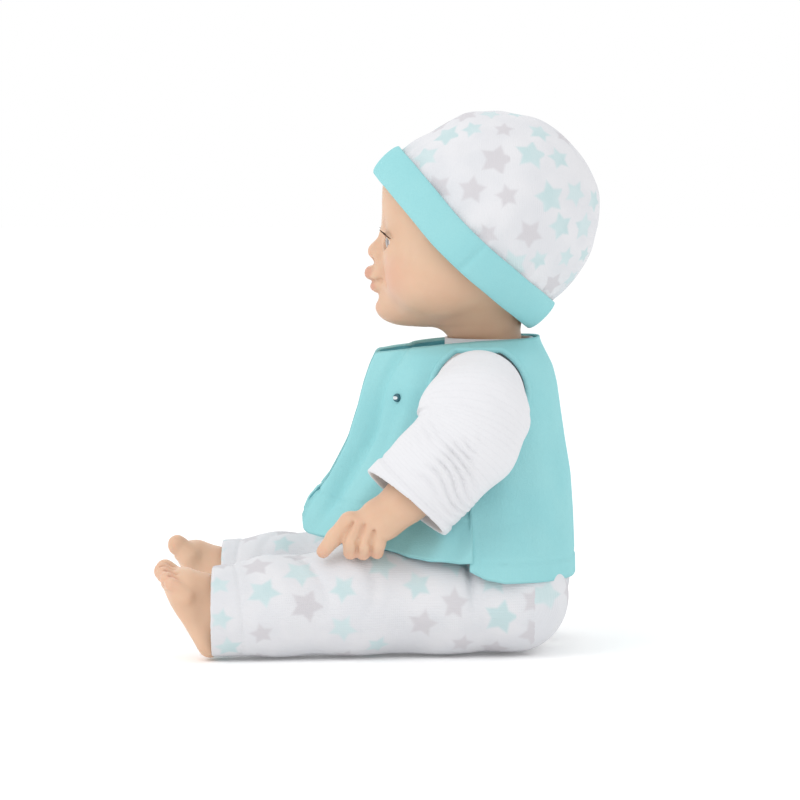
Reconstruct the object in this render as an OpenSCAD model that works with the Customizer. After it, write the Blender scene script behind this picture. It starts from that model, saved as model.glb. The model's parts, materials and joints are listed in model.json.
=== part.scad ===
// Interactive baby doll, seated, in its clothes.
// Frame: +Z up, the doll faces -Y, its left side is +X, and the origin is the middle of the face it sits on.

/* [Head] */
// Width of the bare skull
skull_w = 85; // [82:0.5:86]
// Depth of the bare skull, forehead to back
skull_d = 85; // [82:0.5:86]
// Height of the bare skull
skull_h = 85; // [82:0.5:86]
// Height of the skull's centre over the foot of the neck
skull_up = 50.5; // [50:0.5:51]
// Wall of the rotocast vinyl
vinyl_wall = 3; // [2:0.5:3.5]
// Radius of an eyeball
eye_r = 8.5; // [8:0.1:8.6]
// Distance between the eyes' centres
eye_gap = 34; // [32:1:36]

/* [Hat] */
// Lean of the hat's axis from upright, towards the back
hat_lean = 45; // [44:0.5:46]
// Width of the turned-up band
band_w = 17; // [15:0.5:18]
// Thickness of the band
band_t = 3.2; // [2.4:0.2:3.2]

/* [Body] */
// Height of the shoulder pivots over the seat
shoulder_z = 115; // [114.5:0.5:115.5]
// Height of the hip pivots over the seat
hip_z = 26; // [25.5:0.5:26.5]
// Thickness of the cloth body's skin
skin_t = 1.6; // [1:0.1:1.8]
// Radius of the pegs in the shoulders
shoulder_peg_r = 7; // [6:0.5:7]
// Radius of the pegs in the hips
hip_peg_r = 9; // [7:0.5:9]
// Radius of the peg in the neck
neck_peg_r = 10; // [8:0.5:10]

/* [Clothes] */
// Thickness of the vest
vest_t = 2; // [1.5:0.1:2.2]
// Radius of the vest's armholes
armhole_r = 21.6; // [21.5:0.1:21.8]
// Thickness of the sleeves
sleeve_t = 2.4; // [2:0.1:2.6]
// Thickness of the trousers
trouser_t = 2.4; // [2:0.1:2.6]

/* [Sound unit] */
// Width of the sound unit's case
case_w = 52; // [52:1:53]
// Height of the sound unit's case
case_h = 44; // [44:0.5:44.5]
// Wall of the case
case_wall = 1.6; // [1.2:0.1:1.6]

/* [Hidden] */
$fn = 64;
blend_fn = 14;      // roundness of the blended, faceted shapes
finger_fn = 10;     // roundness of the fingers and toes
face_fn = 18;       // roundness of the head's shapes
fit = 0.05;         // radial running clearance of a peg in its ring
gap = 0.3;          // clearance between pieces that only lie beside each other

skin_c = "#e3bda2";
mint_c = "#8fd3da";
print_c = "#e4e4e8";
knit_c = "#e9e9e9";
cloth_c = "#f0e8da";
case_c = "#d8d8d4";

// Places that several pieces share
neck_y = -14;
neck_z = 140;                   // the plane between body and head
skull_y = -1.5;                 // this and every other place of the head is measured from the foot of the neck
shoulder_y = -19;
hip_y = -5;
eye_y = -38;
eye_z = 41.5;
hat_c = [0, 0, 50];
hat_r = 47;                     // half width of the crown
hat_h = 50;                     // height of the crown over hat_c
hat_edge = -21.5;               // the band's lower edge along the hat's axis, from hat_c
hat_shift = -3;                 // how far the band sits forward of hat_c
leg_inner_x = 18.6;             // the plane inside which a leg never reaches
case_rear_y = -1;
case_mid_y = -15;
case_front_y = -25.5;
case_z = 60;                    // underside of the sound unit
cell_r = 5.25;
cell_l = 44.5;
speaker_x = -9;
button_x = 14.5;
button_z = case_z + case_h / 2;
button_travel = 1;
slider_z = case_z + case_h - 4;
slider_travel = 6;

// Torso outline: height, centre y, half width, half depth to the front, half depth to the back
TORSO = [
    [2.8, -3, 14, 17, 15], [10, -4, 17.2, 23, 20], [27, -5, 17.2, 28, 22.5], [44, -8, 17.2, 34, 25],
    [53.4, -12, 17.2, 38, 28], [57.5, -14, 36, 40, 29.5], [65, -17, 40, 41, 32], [78, -19, 40, 41, 33],
    [93, -19, 38.5, 37, 31], [107, -18, 36, 31, 29], [118, -17, 34.5, 26, 26], [126, -16, 31, 23, 22],
    [131.5, -15, 25, 20, 19], [136, -14, 18.5, 18, 18]
];
// Vest outline, in the same columns
VEST = [
    [30, -20, 69, 84, 45.5], [44, -20, 66, 82, 45], [60, -20, 57, 78.5, 44], [78, -20, 50.5, 67.5, 42.5],
    [93, -20, 46.5, 58.5, 40], [107, -20, 44.5, 53, 38], [118, -20, 43.5, 50, 36.5], [126, -20, 41, 47.5, 34.5],
    [132.5, -20, 37, 45, 31.2], [136.4, -20, 30, 42.5, 29.2], [138.6, -20, 25, 40.5, 28.6]
];

// Centre and radius of each ball along the left leg, hip to heel, and along its trouser leg
LEG = [
    [[39, -5, 26], 20.6], [[42, -35, 24], 19.5], [[47, -75, 23.5], 18.5],
    [[53, -108, 21.5], 16.5], [[57.5, -131, 19.5], 12.5], [[59.5, -141.5, 11], 10.2]
];
TROUSER_LEG = [
    [[39, -5, 26], 24.4], [[42, -35, 24.4], 24.2], [[47, -75, 24], 23.6],
    [[53, -108, 22], 21.4], [[57.5, -137, 20.6], 20.4]
];
cuff_y = -135;                  // the plane of the trouser legs' hems
// The same for the left arm, shoulder to palm, and its sleeve
ARM = [
    [[50, -19, 115], 13.5], [[58, -19, 104.5], 13], [[65, -21, 95.5], 12.8],
    [[67, -36, 82.5], 11.8], [[67, -51, 71], 9.8], [[65.5, -61, 62.5], 9.4]
];
SLEEVE = [
    [[50, -19.5, 115], 20.2], [[59, -21, 108], 22], [[65, -24, 97], 21.5], [[67.5, -36, 85], 20.3], [[67.5, -50, 72], 20]
];
sleeve_flat = 0.8;              // how much flatter a sleeve is across than from front to back
// Fingers of the left hand, knuckle to tip: the index points, the others curl, and the thumb lies inside
FINGERS = [
    [[[67.5, -76.5, 61.5], 4], [[67, -82.5, 54.5], 3.6], [[66, -87.5, 48.2], 3.1]],
    [[[69, -72, 60.2], 4.3], [[70.5, -75, 53], 4], [[67.5, -75.5, 48], 3.4]],
    [[[69.5, -67, 59.3], 4.2], [[71, -69.5, 52], 3.9], [[67.5, -70, 47.6], 3.3]],
    [[[69, -62.5, 59], 3.9], [[70.3, -63.8, 52], 3.6], [[67, -64, 47.8], 3]],
    [[[61.5, -60, 62], 4.6], [[59, -67, 56], 4], [[60.5, -73, 52], 3.4]]
];
// Toes of the left foot, big toe first
TOES = [
    [[53.5, -156.5, 38.5], 4.8], [[59, -157.5, 38.5], 4], [[63.5, -156.5, 37.5], 3.7],
    [[67.5, -155, 36], 3.4], [[70.8, -153, 34], 3.2]
];
// Side view of the sole, heel to ball: the foot leans forward over its heel
SOLE = [[-140, -1], [-141.3, 2.5], [-143.9, 8.6], [-149.3, 16.9], [-155.6, 25.5], [-158.4, 31.5]];

// Builds the shape and its mirror image for side -1, so left is +1
module on_side(side) {
    scale_x = side;
    if (scale_x > 0) children();
    else mirror([1, 0, 0]) children();
}

module along_x(y, z, x0, x1) translate([x0, y, z]) rotate([0, 90, 0]) children();

module x_cylinder(r, x0, x1, y, z) translate([x0, y, z]) rotate([0, 90, 0]) cylinder(r = r, h = x1 - x0);
module x_tube(r_in, r_out, x0, x1, y, z) difference() {
    x_cylinder(r_out, x0, x1, y, z);
    x_cylinder(r_in, x0 - 1, x1 + 1, y, z);
}
module y_cylinder(r, y0, y1, x, z) translate([x, y1, z]) rotate([90, 0, 0]) cylinder(r = r, h = y1 - y0);
module block(low, high) translate(low) cube(high - low);
module half_space_below_x(x) translate([x - 400, -400, -400]) cube([400, 800, 800]);

// One outline of a body or garment: grown outwards by o, its back half squarer as p falls below 1
function outline(row, o, n, p = 1) = [for (j = [0 : n - 1])
    let (a = 360 * j / n, back = cos(a) < -0.001, q = back ? p : 1)
    [(row[2] + o) * sign(sin(a)) * pow(abs(sin(a)), q),
     row[1] - (row[back ? 4 : 3] + o) * sign(cos(a)) * pow(abs(cos(a)), q), row[0]]];

// A closed loft through rings of points, lowest first
module loft(rings) {
    n = len(rings[0]);
    m = len(rings);
    walls = [for (i = [0 : m - 2], j = [0 : n - 1])
        let (k = (j + 1) % n)
        each [[i * n + j, (i + 1) * n + j, (i + 1) * n + k], [i * n + j, (i + 1) * n + k, i * n + k]]];
    ends = [[for (j = [0 : n - 1]) j], [for (j = [n - 1 : -1 : 0]) (m - 1) * n + j]];
    polyhedron(points = [for (r = rings) each r], faces = concat(walls, ends));
}
// A tube wall between two sets of rings, open at both ends
module tube_wall(outer, inner) {
    n = len(outer[0]);
    m = len(outer);
    s = n * m;
    faces = [for (i = [0 : m - 2], j = [0 : n - 1])
        let (k = (j + 1) % n, a = i * n + j, b = i * n + k, c = a + n, d = b + n)
        each [[a, c, d], [a, d, b], [s + a, s + d, s + c], [s + a, s + b, s + d]]];
    rims = [for (j = [0 : n - 1])
        let (k = (j + 1) % n, t = (m - 1) * n)
        each [[j, k, s + k], [j, s + k, s + j], [t + j, s + t + k, t + k], [t + j, s + t + j, s + t + k]]];
    polyhedron(points = concat([for (r = outer) each r], [for (r = inner) each r]), faces = concat(faces, rims));
}
// Rows of an outline between two heights, with its ends worked out
function row_at(table, z) = [z, for (c = [1 : 4]) lookup(z, [for (r = table) [r[0], r[c]]])];
function rows_between(table, z0, z1) = concat(
    [row_at(table, z0)], [for (r = table) if (r[0] > z0 + 0.5 && r[0] < z1 - 0.5) r], [row_at(table, z1)]);

// A chain of balls, each hulled to the next, grown by o
module chain(balls, o = 0, fn = blend_fn) for (i = [0 : len(balls) - 2]) hull() {
    translate(balls[i][0]) sphere(balls[i][1] + o, $fn = fn);
    translate(balls[i + 1][0]) sphere(balls[i + 1][1] + o, $fn = fn);
}
module ellipsoid(c, r) translate(c) scale(r) sphere(1, $fn = face_fn);

// ---- Cloth body ----
module torso_solid(o, n = 32) loft([for (r = TORSO) outline(
    [r[0] + (r[0] == TORSO[0][0] ? -o : r[0] == TORSO[len(TORSO) - 1][0] ? o : 0), r[1], r[2], r[3], r[4]], o, n)]);

module limb_openings(grow) for (side = [1, -1]) on_side(side) {
    x_cylinder(10.5 + grow, 24, 45, shoulder_y, shoulder_z);
    x_cylinder(13 + grow, 8, 30, hip_y, hip_z);
}
module neck_opening(grow) translate([0, neck_y, neck_z - 16]) cylinder(r = 15 + grow, h = 20);

module torso_skin() color(cloth_c) difference() {
    torso_solid(0);
    torso_solid(-skin_t);
    limb_openings(0.1);
    neck_opening(0.1);
}
module torso_stuffing() color("white") difference() {
    torso_solid(-skin_t - 0.2);
    block([-case_w / 2 - 0.4, case_front_y - 3.5, case_z - 0.4],
          [case_w / 2 + 0.4, case_rear_y + 2.4, case_z + case_h + 0.4]);
    for (side = [1, -1]) on_side(side) {
        x_cylinder(11.5, 24, 50, shoulder_y, shoulder_z);
        x_cylinder(13.8, 8, 40, hip_y, hip_z);
    }
    neck_opening(1);
}
// Hook-and-loop tape over the opening that the batteries are changed through
closure_t = 0.9;
module back_closure() color("ivory") difference() {
    intersection() {
        torso_solid(closure_t);
        block([-5, 0, 67], [5, 40, 92]);
    }
    torso_solid(0.05);
}

module neck_ring() color("gainsboro") translate([0, neck_y, neck_z - 10]) difference() {
    cylinder(r = 15, h = 6.4);
    translate([0, 0, -1]) cylinder(r = neck_peg_r + fit, h = 9);
}
module shoulder_ring(side) color("gainsboro") on_side(side)
    x_tube(shoulder_peg_r + fit, 10.5, 30.6, 36.4, shoulder_y, shoulder_z);
module hip_ring(side) color("gainsboro") on_side(side)
    x_tube(hip_peg_r + fit, 13, 12.5, 17.2, hip_y, hip_z);

// ---- Sound unit inside the body ----
boss_x = case_w / 2 - 4;
module boss_places() for (x = [-boss_x, boss_x], z = [case_z + 4, case_z + case_h - 4])
    translate([x, 0, z]) children();

module sound_case_front() color(case_c) difference() {
    union() {
        difference() {
            block([-case_w / 2, case_front_y, case_z], [case_w / 2, case_mid_y - 0.1, case_z + case_h]);
            block([-case_w / 2 + case_wall, case_front_y + case_wall, case_z + case_wall],
                  [case_w / 2 - case_wall, case_mid_y + 1, case_z + case_h - case_wall]);
        }
        boss_places() y_cylinder(2.6, case_front_y + 1, case_mid_y - 0.1, 0, 0);
    }
    boss_places() y_cylinder(0.9, case_mid_y - 7, case_mid_y + 1, 0, 0);
    y_cylinder(4.8, case_front_y - 1, case_front_y + 3, button_x, button_z);
    // Speaker grille
    for (ring = [0 : 2], k = [0 : max(0, ring * 6 - 1)])
        y_cylinder(1, case_front_y - 1, case_front_y + 3,
                   speaker_x + 3.6 * ring * cos(60 * k / max(ring, 1)),
                   button_z + 3.6 * ring * sin(60 * k / max(ring, 1)));
}
module sound_case_rear() color(case_c) difference() {
    block([-case_w / 2, case_mid_y, case_z], [case_w / 2, case_rear_y, case_z + case_h]);
    // Battery bay, and the pocket and slot of the power slider
    block([-cell_l / 2 - 2.2, case_mid_y + case_wall, case_z + case_wall],
          [cell_l / 2 + 2.2, case_rear_y + 1, case_z + case_wall + 34.2]);
    block([-8.4, case_rear_y - 4, slider_z - 2.6], [8.4, case_rear_y - case_wall, slider_z + 2.6]);
    block([-5.6, case_rear_y - 3, slider_z - 1.6], [5.6, case_rear_y + 1, slider_z + 1.6]);
    for (x = [-boss_x, boss_x])
        y_cylinder(1.2, case_mid_y - 1, case_rear_y + 1, x, case_z + case_h - 4);
}
module sound_case_screws() color("silver") for (x = [-boss_x, boss_x]) translate([x, 0, case_z + case_h - 4]) {
    y_cylinder(0.85, case_mid_y - 6.5, case_rear_y + 0.05, 0, 0);
    difference() {
        y_cylinder(2, case_rear_y + 0.05, case_rear_y + 1, 0, 0);
        block([-1.5, case_rear_y + 0.6, -0.3], [1.5, case_rear_y + 2, 0.3]);
    }
}
door_top = case_z + case_wall + 34;
module battery_door() color(case_c) difference() {
    block([-cell_l / 2 - 2, case_rear_y - 1.5, case_z + case_wall + 0.2], [cell_l / 2 + 2, case_rear_y, door_top]);
    y_cylinder(1.2, case_rear_y - 3, case_rear_y + 1, 0, door_top - 4);
    // Finger ribs
    for (k = [0 : 4]) block([-8, case_rear_y - 0.5, case_z + 6 + 2 * k], [8, case_rear_y + 1, case_z + 7 + 2 * k]);
}
module battery_door_screw() color("silver") translate([0, 0, door_top - 4]) {
    y_cylinder(1.1, case_rear_y - 1.5, case_rear_y + 0.1, 0, 0);
    y_cylinder(2.1, case_rear_y + 0.1, case_rear_y + 1, 0, 0);
}
module cell_places() for (k = [0 : 2]) translate([0, case_mid_y + case_wall + cell_r + 0.2, case_z + case_wall + 5.7 + 11.3 * k])
    children();
module battery_cells() color("dimgray") cell_places() {
    x_cylinder(cell_r, -cell_l / 2 + 0.8, cell_l / 2 - 1, 0, 0);
    x_cylinder(1.8, cell_l / 2 - 1, cell_l / 2, 0, 0);
}
module battery_contacts() color("silver") cell_places() {
    block([cell_l / 2 + 0.2, -4, -4], [cell_l / 2 + 0.8, 4, 4]);
    block([-cell_l / 2 - 1.9, -4, -4], [-cell_l / 2 - 1.4, 4, 4]);
    x_tube(2.4, 3.2, -cell_l / 2 - 1.4, -cell_l / 2 + 0.6, 0, 0);
}
module circuit_board() color("seagreen") difference() {
    block([-case_w / 2 + 2, case_mid_y - 1.5, case_z + 2], [case_w / 2 - 2, case_mid_y - 0.3, case_z + case_h - 2]);
    boss_places() y_cylinder(2.9, case_mid_y - 3, case_mid_y + 1, 0, 0);
}
module board_components() color("#202124") {
    block([10.5, case_mid_y - 4.5, button_z - 4], [18.5, case_mid_y - 1.5, button_z + 4]);
    block([9, case_mid_y - 2.8, button_z + 7], [17, case_mid_y - 1.5, button_z + 13]);
    y_cylinder(2, case_mid_y - 4.2, case_mid_y - 1.5, 20, button_z - 10);
}
module speaker_basket() color("#3a3d40") difference() {
    y_cylinder(13.5, case_front_y + case_wall + 0.2, case_front_y + case_wall + 3.6, speaker_x, button_z);
    y_cylinder(11.8, case_front_y, case_front_y + case_wall + 2.6, speaker_x, button_z);
    y_cylinder(5, case_front_y, case_front_y + 9, speaker_x, button_z);
}
module speaker_cone() color("#55585c") translate([speaker_x, case_front_y + case_wall + 1.2, button_z]) rotate([-90, 0, 0])
    rotate_extrude() polygon([[0, 0.6], [3, 0], [11.5, 0.6], [11.5, 1.1], [3, 0.6], [0, 1.1]]);
module speaker_magnet() color("silver")
    y_cylinder(4.8, case_front_y + case_wall + 2.6, case_front_y + case_wall + 6.2, speaker_x, button_z);
// Press button behind the tummy: a pad outside the case and a lip inside it
module tummy_button() color("white") {
    y_cylinder(7.5, case_front_y - 3.1, case_front_y - button_travel - 0.2, button_x, button_z);
    y_cylinder(4.5, case_front_y - button_travel - 0.2, case_front_y + case_wall + 0.3, button_x, button_z);
    y_cylinder(5.8, case_front_y + case_wall + 0.3, case_front_y + case_wall + 1.3, button_x, button_z);
}
module power_slider() color("#303236") translate([-slider_travel / 2, 0, slider_z]) {
    block([-4.6, case_rear_y - 3.4, -2.2], [4.6, case_rear_y - case_wall - 0.2, 2.2]);
    block([-2.2, case_rear_y - case_wall - 0.3, -1.3], [2.2, case_rear_y + 1, 1.3]);
}

// ---- Head ----
module on_neck() translate([0, neck_y, neck_z]) children();
skull_r = [skull_w / 2, skull_d / 2, skull_h / 2];
skull_c = [0, skull_y, skull_up];
// Balls that the head is stretched over: centre and half axes, cranium and face
CRANIUM = [[[0, -24, 59], [30, 24.5, 23]], [[0, 6, 56], [36, 35.5, 33]], [[0, -17, 36], [38.5, 29, 26]]];
FACE = [
    [[0, -17, 30], [38, 28.5, 27.5]], [[0, -32, 16.5], [17, 17.5, 14.5]],
    [[20, -27, 25], [19.5, 18.5, 18]], [[-20, -27, 25], [19.5, 18.5, 18]]
];
neck_r = 16.2;
module head_mass(o) {
    hull() {
        ellipsoid(skull_c, skull_r + [o, o, o]);
        for (b = CRANIUM) ellipsoid(b[0], b[1] + [o, o, o]);
    }
    hull() for (b = FACE) ellipsoid(b[0], b[1] + [o, o, o]);
    hull() {
        translate([0, -1.2, 0.8 - o]) cylinder(r = neck_r + o, h = 1 + o, $fn = face_fn);
        ellipsoid([0, -6, 19], [30 + o, 26 + o, 12]);
    }
}
module face_features() {
    hull() {
        ellipsoid([0, -48.5, 37], [6, 6, 5]);
        ellipsoid([0, -43, 45], [4, 4, 4]);
    }
    hull() for (x = [-6, 6]) ellipsoid([x, -46.5, 27.5], [4, 7.5, 3.2]);
    hull() for (x = [-4.5, 4.5]) ellipsoid([x, -45.5, 21], [4, 7, 3]);
    for (s = [1, -1]) hull() {
        ellipsoid([s * 40, 1, 44], [2.2, 5, 6]);
        ellipsoid([s * 39.4, 0, 33], [2.2, 4, 4]);
    }
}
module eye_at(s) on_neck() translate([s * eye_gap / 2, eye_y, eye_z]) children();

module head_shell() color(skin_c) difference() {
    on_neck() difference() {
        union() {
            head_mass(0);
            face_features();
            translate([0, 0, -3]) cylinder(r = neck_r - 0.6, h = 8, $fn = 32);
        }
        difference() {
            head_mass(-vinyl_wall);
            translate([-60, -66, -16]) cube([120, 120, 16.2]);
        }
        translate([0, 0, -6]) cylinder(r = neck_peg_r + 0.4, h = 12, $fn = 32);
        translate([0, 0, 0.2]) cylinder(r = 13.6, h = 8, $fn = 32);
        // Below the skull nothing of the head reaches the shoulders
        difference() {
            translate([-60, -76, -26]) cube([120, 130, 26]);
            translate([0, 0, -46]) cylinder(r = 19.2, h = 60, $fn = 32);
        }
    }
    for (s = [1, -1]) eye_at(s) {
        intersection() {
            sphere(11.2, $fn = 28);
            translate([-20, -5.2, -20]) cube([40, 60, 40]);
        }
        rotate([90, 0, 0]) cylinder(r = 7.65, h = 20, $fn = 32);
        translate([-6.8, -20, -8.6]) cube([13.6, 18, 17.2]);
    }
}
// Plug that the head turns on: a flange in the head, a peg in the neck ring, a keeper inside the body
module head_swivel() color("gainsboro") on_neck() {
    translate([0, 0, -13]) cylinder(r = 13.4, h = 2.6);
    translate([0, 0, -10.4]) cylinder(r = neck_peg_r, h = 10.9);
    translate([0, 0, 0.5]) cylinder(r = 13, h = 2.4);
}
// Ring behind the face that holds an eye's axle
module eye_socket(s) color("ivory") eye_at(s) difference() {
    y_cylinder(10.4, -3, 2.4, 0, 0);
    y_cylinder(9.5, -4, 4, 0, 0);
    x_cylinder(1.05, -20, 20, 0, 0);
}
module eyeball(s) color("white") eye_at(s) union() {
    sphere(eye_r);
    x_cylinder(1, -10.5, 10.5, 0, 0);
}
lid_from = 22;      // the lid's edge over the line of sight, in degrees
module eyelid(s) color(skin_c) eye_at(s) difference() {
    sphere(eye_r + 0.45);
    sphere(eye_r + 0.05);
    translate([-20, -20, -40]) cube([40, 40, 40]);
    rotate([-lid_from, 0, 0]) translate([-20, -40, -20]) cube([40, 40, 20]);
    translate([-20, 4, -1]) cube([40, 40, 40]);
    for (x = [-40, 7.4]) translate([x, -20, -20]) cube([32.6, 60, 60]);
}
module lashes(s) color("#3a2a24") eye_at(s) rotate([-lid_from - 2, 0, 0]) intersection() {
    rotate([0, 0, 0]) difference() {
        cylinder(r = 11.8, h = 0.7);
        translate([0, 0, -1]) cylinder(r = eye_r + 0.55, h = 3);
    }
    translate([-5.6, -20, -1]) cube([11.2, 14, 3]);
}
// Weight that opens the eye when the doll is upright and closes it when it lies back
module eye_weight(s) color("gray") eye_at(s) rotate([28, 0, 0]) {
    translate([0, 0, -eye_r - 8]) sphere(3.6);
    translate([0, 0, -eye_r - 5]) cylinder(r = 1.2, h = 4.9);
}

// ---- Hat ----
module hat_frame() on_neck() translate(hat_c) rotate([-hat_lean, 0, 0]) children();
hat_n = 36;
// One ring of the hat at height z on its axis, half width r, moved forward by f
function hat_ring(r, z, f) = [for (j = [0 : hat_n - 1]) let (t = 360 * j / hat_n) [r * sin(t), f - r * cos(t), z]];
function dome_rings(o) = concat(
    [for (z = [hat_edge + band_w - 5, -2]) hat_ring(hat_r + o, z, hat_shift)],
    [for (a = [8, 24, 40, 54, 68, 80, 88])
        hat_ring((hat_r + o) * cos(a) + 0.4 * sin(a), (hat_h + o) * sin(a), hat_shift * (1 - sin(a)))]);
module hat_crown() color(print_c) hat_frame() {
    tube_wall(dome_rings(0), dome_rings(-2));
    translate([0, 0, hat_h - 3]) cylinder(r = 3, h = 3);
}
module hat_band() color(mint_c) hat_frame() {
    r = hat_r + 3.5;
    heights = [hat_edge, hat_edge + 2, hat_edge + band_w];
    tube_wall([for (z = heights) hat_ring(r, z, hat_shift)], [for (z = heights) hat_ring(r - band_t, z, hat_shift)]);
}

// ---- Arms ----
module hand() {
    hull() {
        translate([65.5, -61, 65]) sphere(8.6, $fn = blend_fn);
        translate([67, -75, 61.5]) sphere(5, $fn = blend_fn);
        translate([68.5, -62.5, 58.5]) sphere(5, $fn = blend_fn);
    }
    for (f = FINGERS) chain(f, fn = finger_fn);
}
// Room that the arm leaves for the armhole, so that it can turn in it
module armhole_room(x) difference() {
    translate([x - 30, -120, 0]) cube([30, 200, 240]);
    x_cylinder(armhole_r - 1.3, x - 40, x + 10, shoulder_y, shoulder_z);
}
module arm(side) color(skin_c) on_side(side) difference() {
    union() {
        chain(ARM);
        hand();
        x_cylinder(12, 37.2, 48, shoulder_y, shoulder_z);
    }
    chain([for (i = [0 : 3]) [ARM[i][0], ARM[i][1] - vinyl_wall]]);
    half_space_below_x(37.2);
    x_cylinder(shoulder_peg_r + 0.1, 30, 40.2, shoulder_y, shoulder_z);
}
module shoulder_swivel(side) color("gainsboro") on_side(side) {
    x_cylinder(9.5, 27.4, 30, shoulder_y, shoulder_z);
    x_cylinder(shoulder_peg_r, 30, 40.2, shoulder_y, shoulder_z);
}
module sleeve(side) color(knit_c) on_side(side) difference() {
    scale([sleeve_flat, 1, 1]) chain([for (b = SLEEVE) [[b[0].x / sleeve_flat, b[0].y, b[0].z], b[1]]]);
    scale([sleeve_flat, 1, 1]) chain([for (b = SLEEVE) [[b[0].x / sleeve_flat, b[0].y, b[0].z], b[1]]], -sleeve_t);
    chain([for (i = [0 : 3]) ARM[i]], 0.3);
    armhole_room(48.6);
    half_space_below_x(41.3);
    // The cuff's mouth, square to the forearm
    translate([40, -52, 70]) rotate([50, 0, 0]) translate([0, -40, -30]) cube([60, 40, 60]);
}

// ---- Legs ----
module foot() {
    chain([LEG[5], [[61.5, -149.5, 30], 8.6]]);
    hull() {
        translate([56, -152, 33]) sphere(6.8, $fn = blend_fn);
        translate([67, -150, 30]) sphere(5.8, $fn = blend_fn);
        translate(LEG[4][0]) sphere(11, $fn = blend_fn);
    }
    for (t = TOES) hull() {
        translate(t[0]) sphere(t[1], $fn = finger_fn);
        translate(t[0] + [-0.8, 5.5, -5]) sphere(t[1] + 0.6, $fn = finger_fn);
    }
}
module leg(side) color(skin_c) on_side(side) difference() {
    union() {
        chain(LEG);
        foot();
        x_cylinder(17, leg_inner_x, 30, hip_y, hip_z);
    }
    chain([for (i = [0 : 3]) [LEG[i][0], LEG[i][1] - vinyl_wall]]);
    half_space_below_x(leg_inner_x);
    x_cylinder(hip_peg_r + 0.1, 10, 21.8, hip_y, hip_z);
    translate([0, -200, -20]) cube([120, 220, 20]);
    rotate([90, 0, 90]) linear_extrude(120) polygon(concat(SOLE, [[-190, 31.5], [-190, -1]]));
}
module hip_swivel(side) color("gainsboro") on_side(side) {
    x_cylinder(12, 9.4, 12, hip_y, hip_z);
    x_cylinder(hip_peg_r, 12, 21.8, hip_y, hip_z);
}
module trouser_leg(side) color(print_c) on_side(side) difference() {
    chain(TROUSER_LEG);
    chain(TROUSER_LEG, -trouser_t);
    chain(LEG, gap);
    half_space_below_x(leg_inner_x);
    translate([0, -200, -20]) cube([120, 240, 20]);
    translate([0, -200, -20]) cube([120, 200 + cuff_y, 80]);
    x_cylinder(17.4, 10, 30.4, hip_y, hip_z);
}

// ---- Clothes on the torso ----
module trouser_seat() color(print_c) difference() {
    intersection() {
        torso_solid(2.8);
        union() {
            block([-17.9, -80, 0], [17.9, 60, 56]);
            block([-60, -80, 52.4], [60, 60, 66]);
        }
    }
    torso_solid(0.2);
    // Clear of the round tops of the legs, at rest and as they turn
    for (side = [1, -1]) on_side(side) {
        x_cylinder(25.6, 17.9, 80, hip_y, hip_z);
        x_cylinder(13.6, 14, 30, hip_y, hip_z);
        block([17.9, -80, 40], [80, -25, 52.6]);
    }
}
shirt_z0 = 66.4;
module shirt_body() color(knit_c) difference() {
    union() {
        tube_wall([for (r = rows_between(TORSO, shirt_z0, neck_z - 9)) outline(r, 2.2, 32)],
                  [for (r = rows_between(TORSO, shirt_z0, neck_z - 9)) outline(r, 0.3, 32)]);
        translate([0, neck_y, neck_z - 9.2]) cylinder(r = 20.2, h = 7.4);
    }
    torso_solid(0.25);
    translate([0, neck_y, neck_z - 10]) cylinder(r = 18.4, h = 20);
    for (side = [1, -1]) on_side(side) x_cylinder(15, 20, 60, shoulder_y, shoulder_z);
    // Room for the closing tape at the back
    intersection() {
        torso_solid(closure_t + 0.2);
        block([-5.4, 0, 65], [5.4, 40, 92.6]);
    }
}
vest_square = 0.68; // squareness of the back, where it hangs over the hips
module vest_wall() tube_wall([for (r = VEST) outline(r, 0, 40, vest_square)],
                             [for (r = VEST) outline(r, -vest_t, 40, vest_square)]);
module vest_cut_outs() {
    for (side = [1, -1]) on_side(side) x_cylinder(armhole_r, 20, 90, shoulder_y, shoulder_z);
    // Front opening, wider at the hem
    linear_extrude(400, center = true) polygon([[-5, -20], [5, -20], [17, -120], [-17, -120]]);
}
side_seam_y = -23;
// The hem: level at the back, then higher over the thighs
module vest_hem(back) {
    if (back) block([-90, -120, 0], [90, 60, 34]);
    else {
        block([-90, -120, 0], [90, 60, 46]);
        block([-90, -120, 0], [90, -40, 52.5]);
    }
}
module vest_back() color(mint_c) difference() {
    vest_wall();
    vest_cut_outs();
    vest_hem(true);
    block([-90, -120, 0], [90, side_seam_y, 200]);
}
module vest_front(side) color(mint_c) difference() {
    vest_wall();
    vest_cut_outs();
    vest_hem(false);
    block([-90, side_seam_y - 0.1, 0], [90, 60, 200]);
    if (side > 0) block([-90, -120, 0], [0, 60, 200]);
    else block([0, -120, 0], [90, 60, 200]);
}
snap_z = 113;
module vest_snaps() color("silver") for (s = [1, -1]) {
    translate([s * 32.3, -55.8, snap_z]) rotate([90, 0, s * 51]) cylinder(r = 2.4, h = 1);
}

torso_skin();
torso_stuffing();
back_closure();
neck_ring();
shoulder_ring(1);  // shoulder_ring_left
shoulder_ring(-1);  // shoulder_ring_right
hip_ring(1);  // hip_ring_left
hip_ring(-1);  // hip_ring_right
sound_case_front();
sound_case_rear();
sound_case_screws();
battery_door();
battery_door_screw();
battery_cells();
battery_contacts();
circuit_board();
board_components();
speaker_basket();
speaker_cone();
speaker_magnet();
shirt_body();
trouser_seat();
vest_back();
vest_front(1);  // vest_front_left
vest_front(-1);  // vest_front_right
vest_snaps();
tummy_button();
power_slider();
head_shell();
head_swivel();
eye_socket(1);  // eye_socket_left
eye_socket(-1);  // eye_socket_right
eyeball(1);  // eyeball_left
eyelid(1);  // eyelid_left
lashes(1);  // lashes_left
eye_weight(1);  // eye_weight_left
eyeball(-1);  // eyeball_right
eyelid(-1);  // eyelid_right
lashes(-1);  // lashes_right
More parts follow.
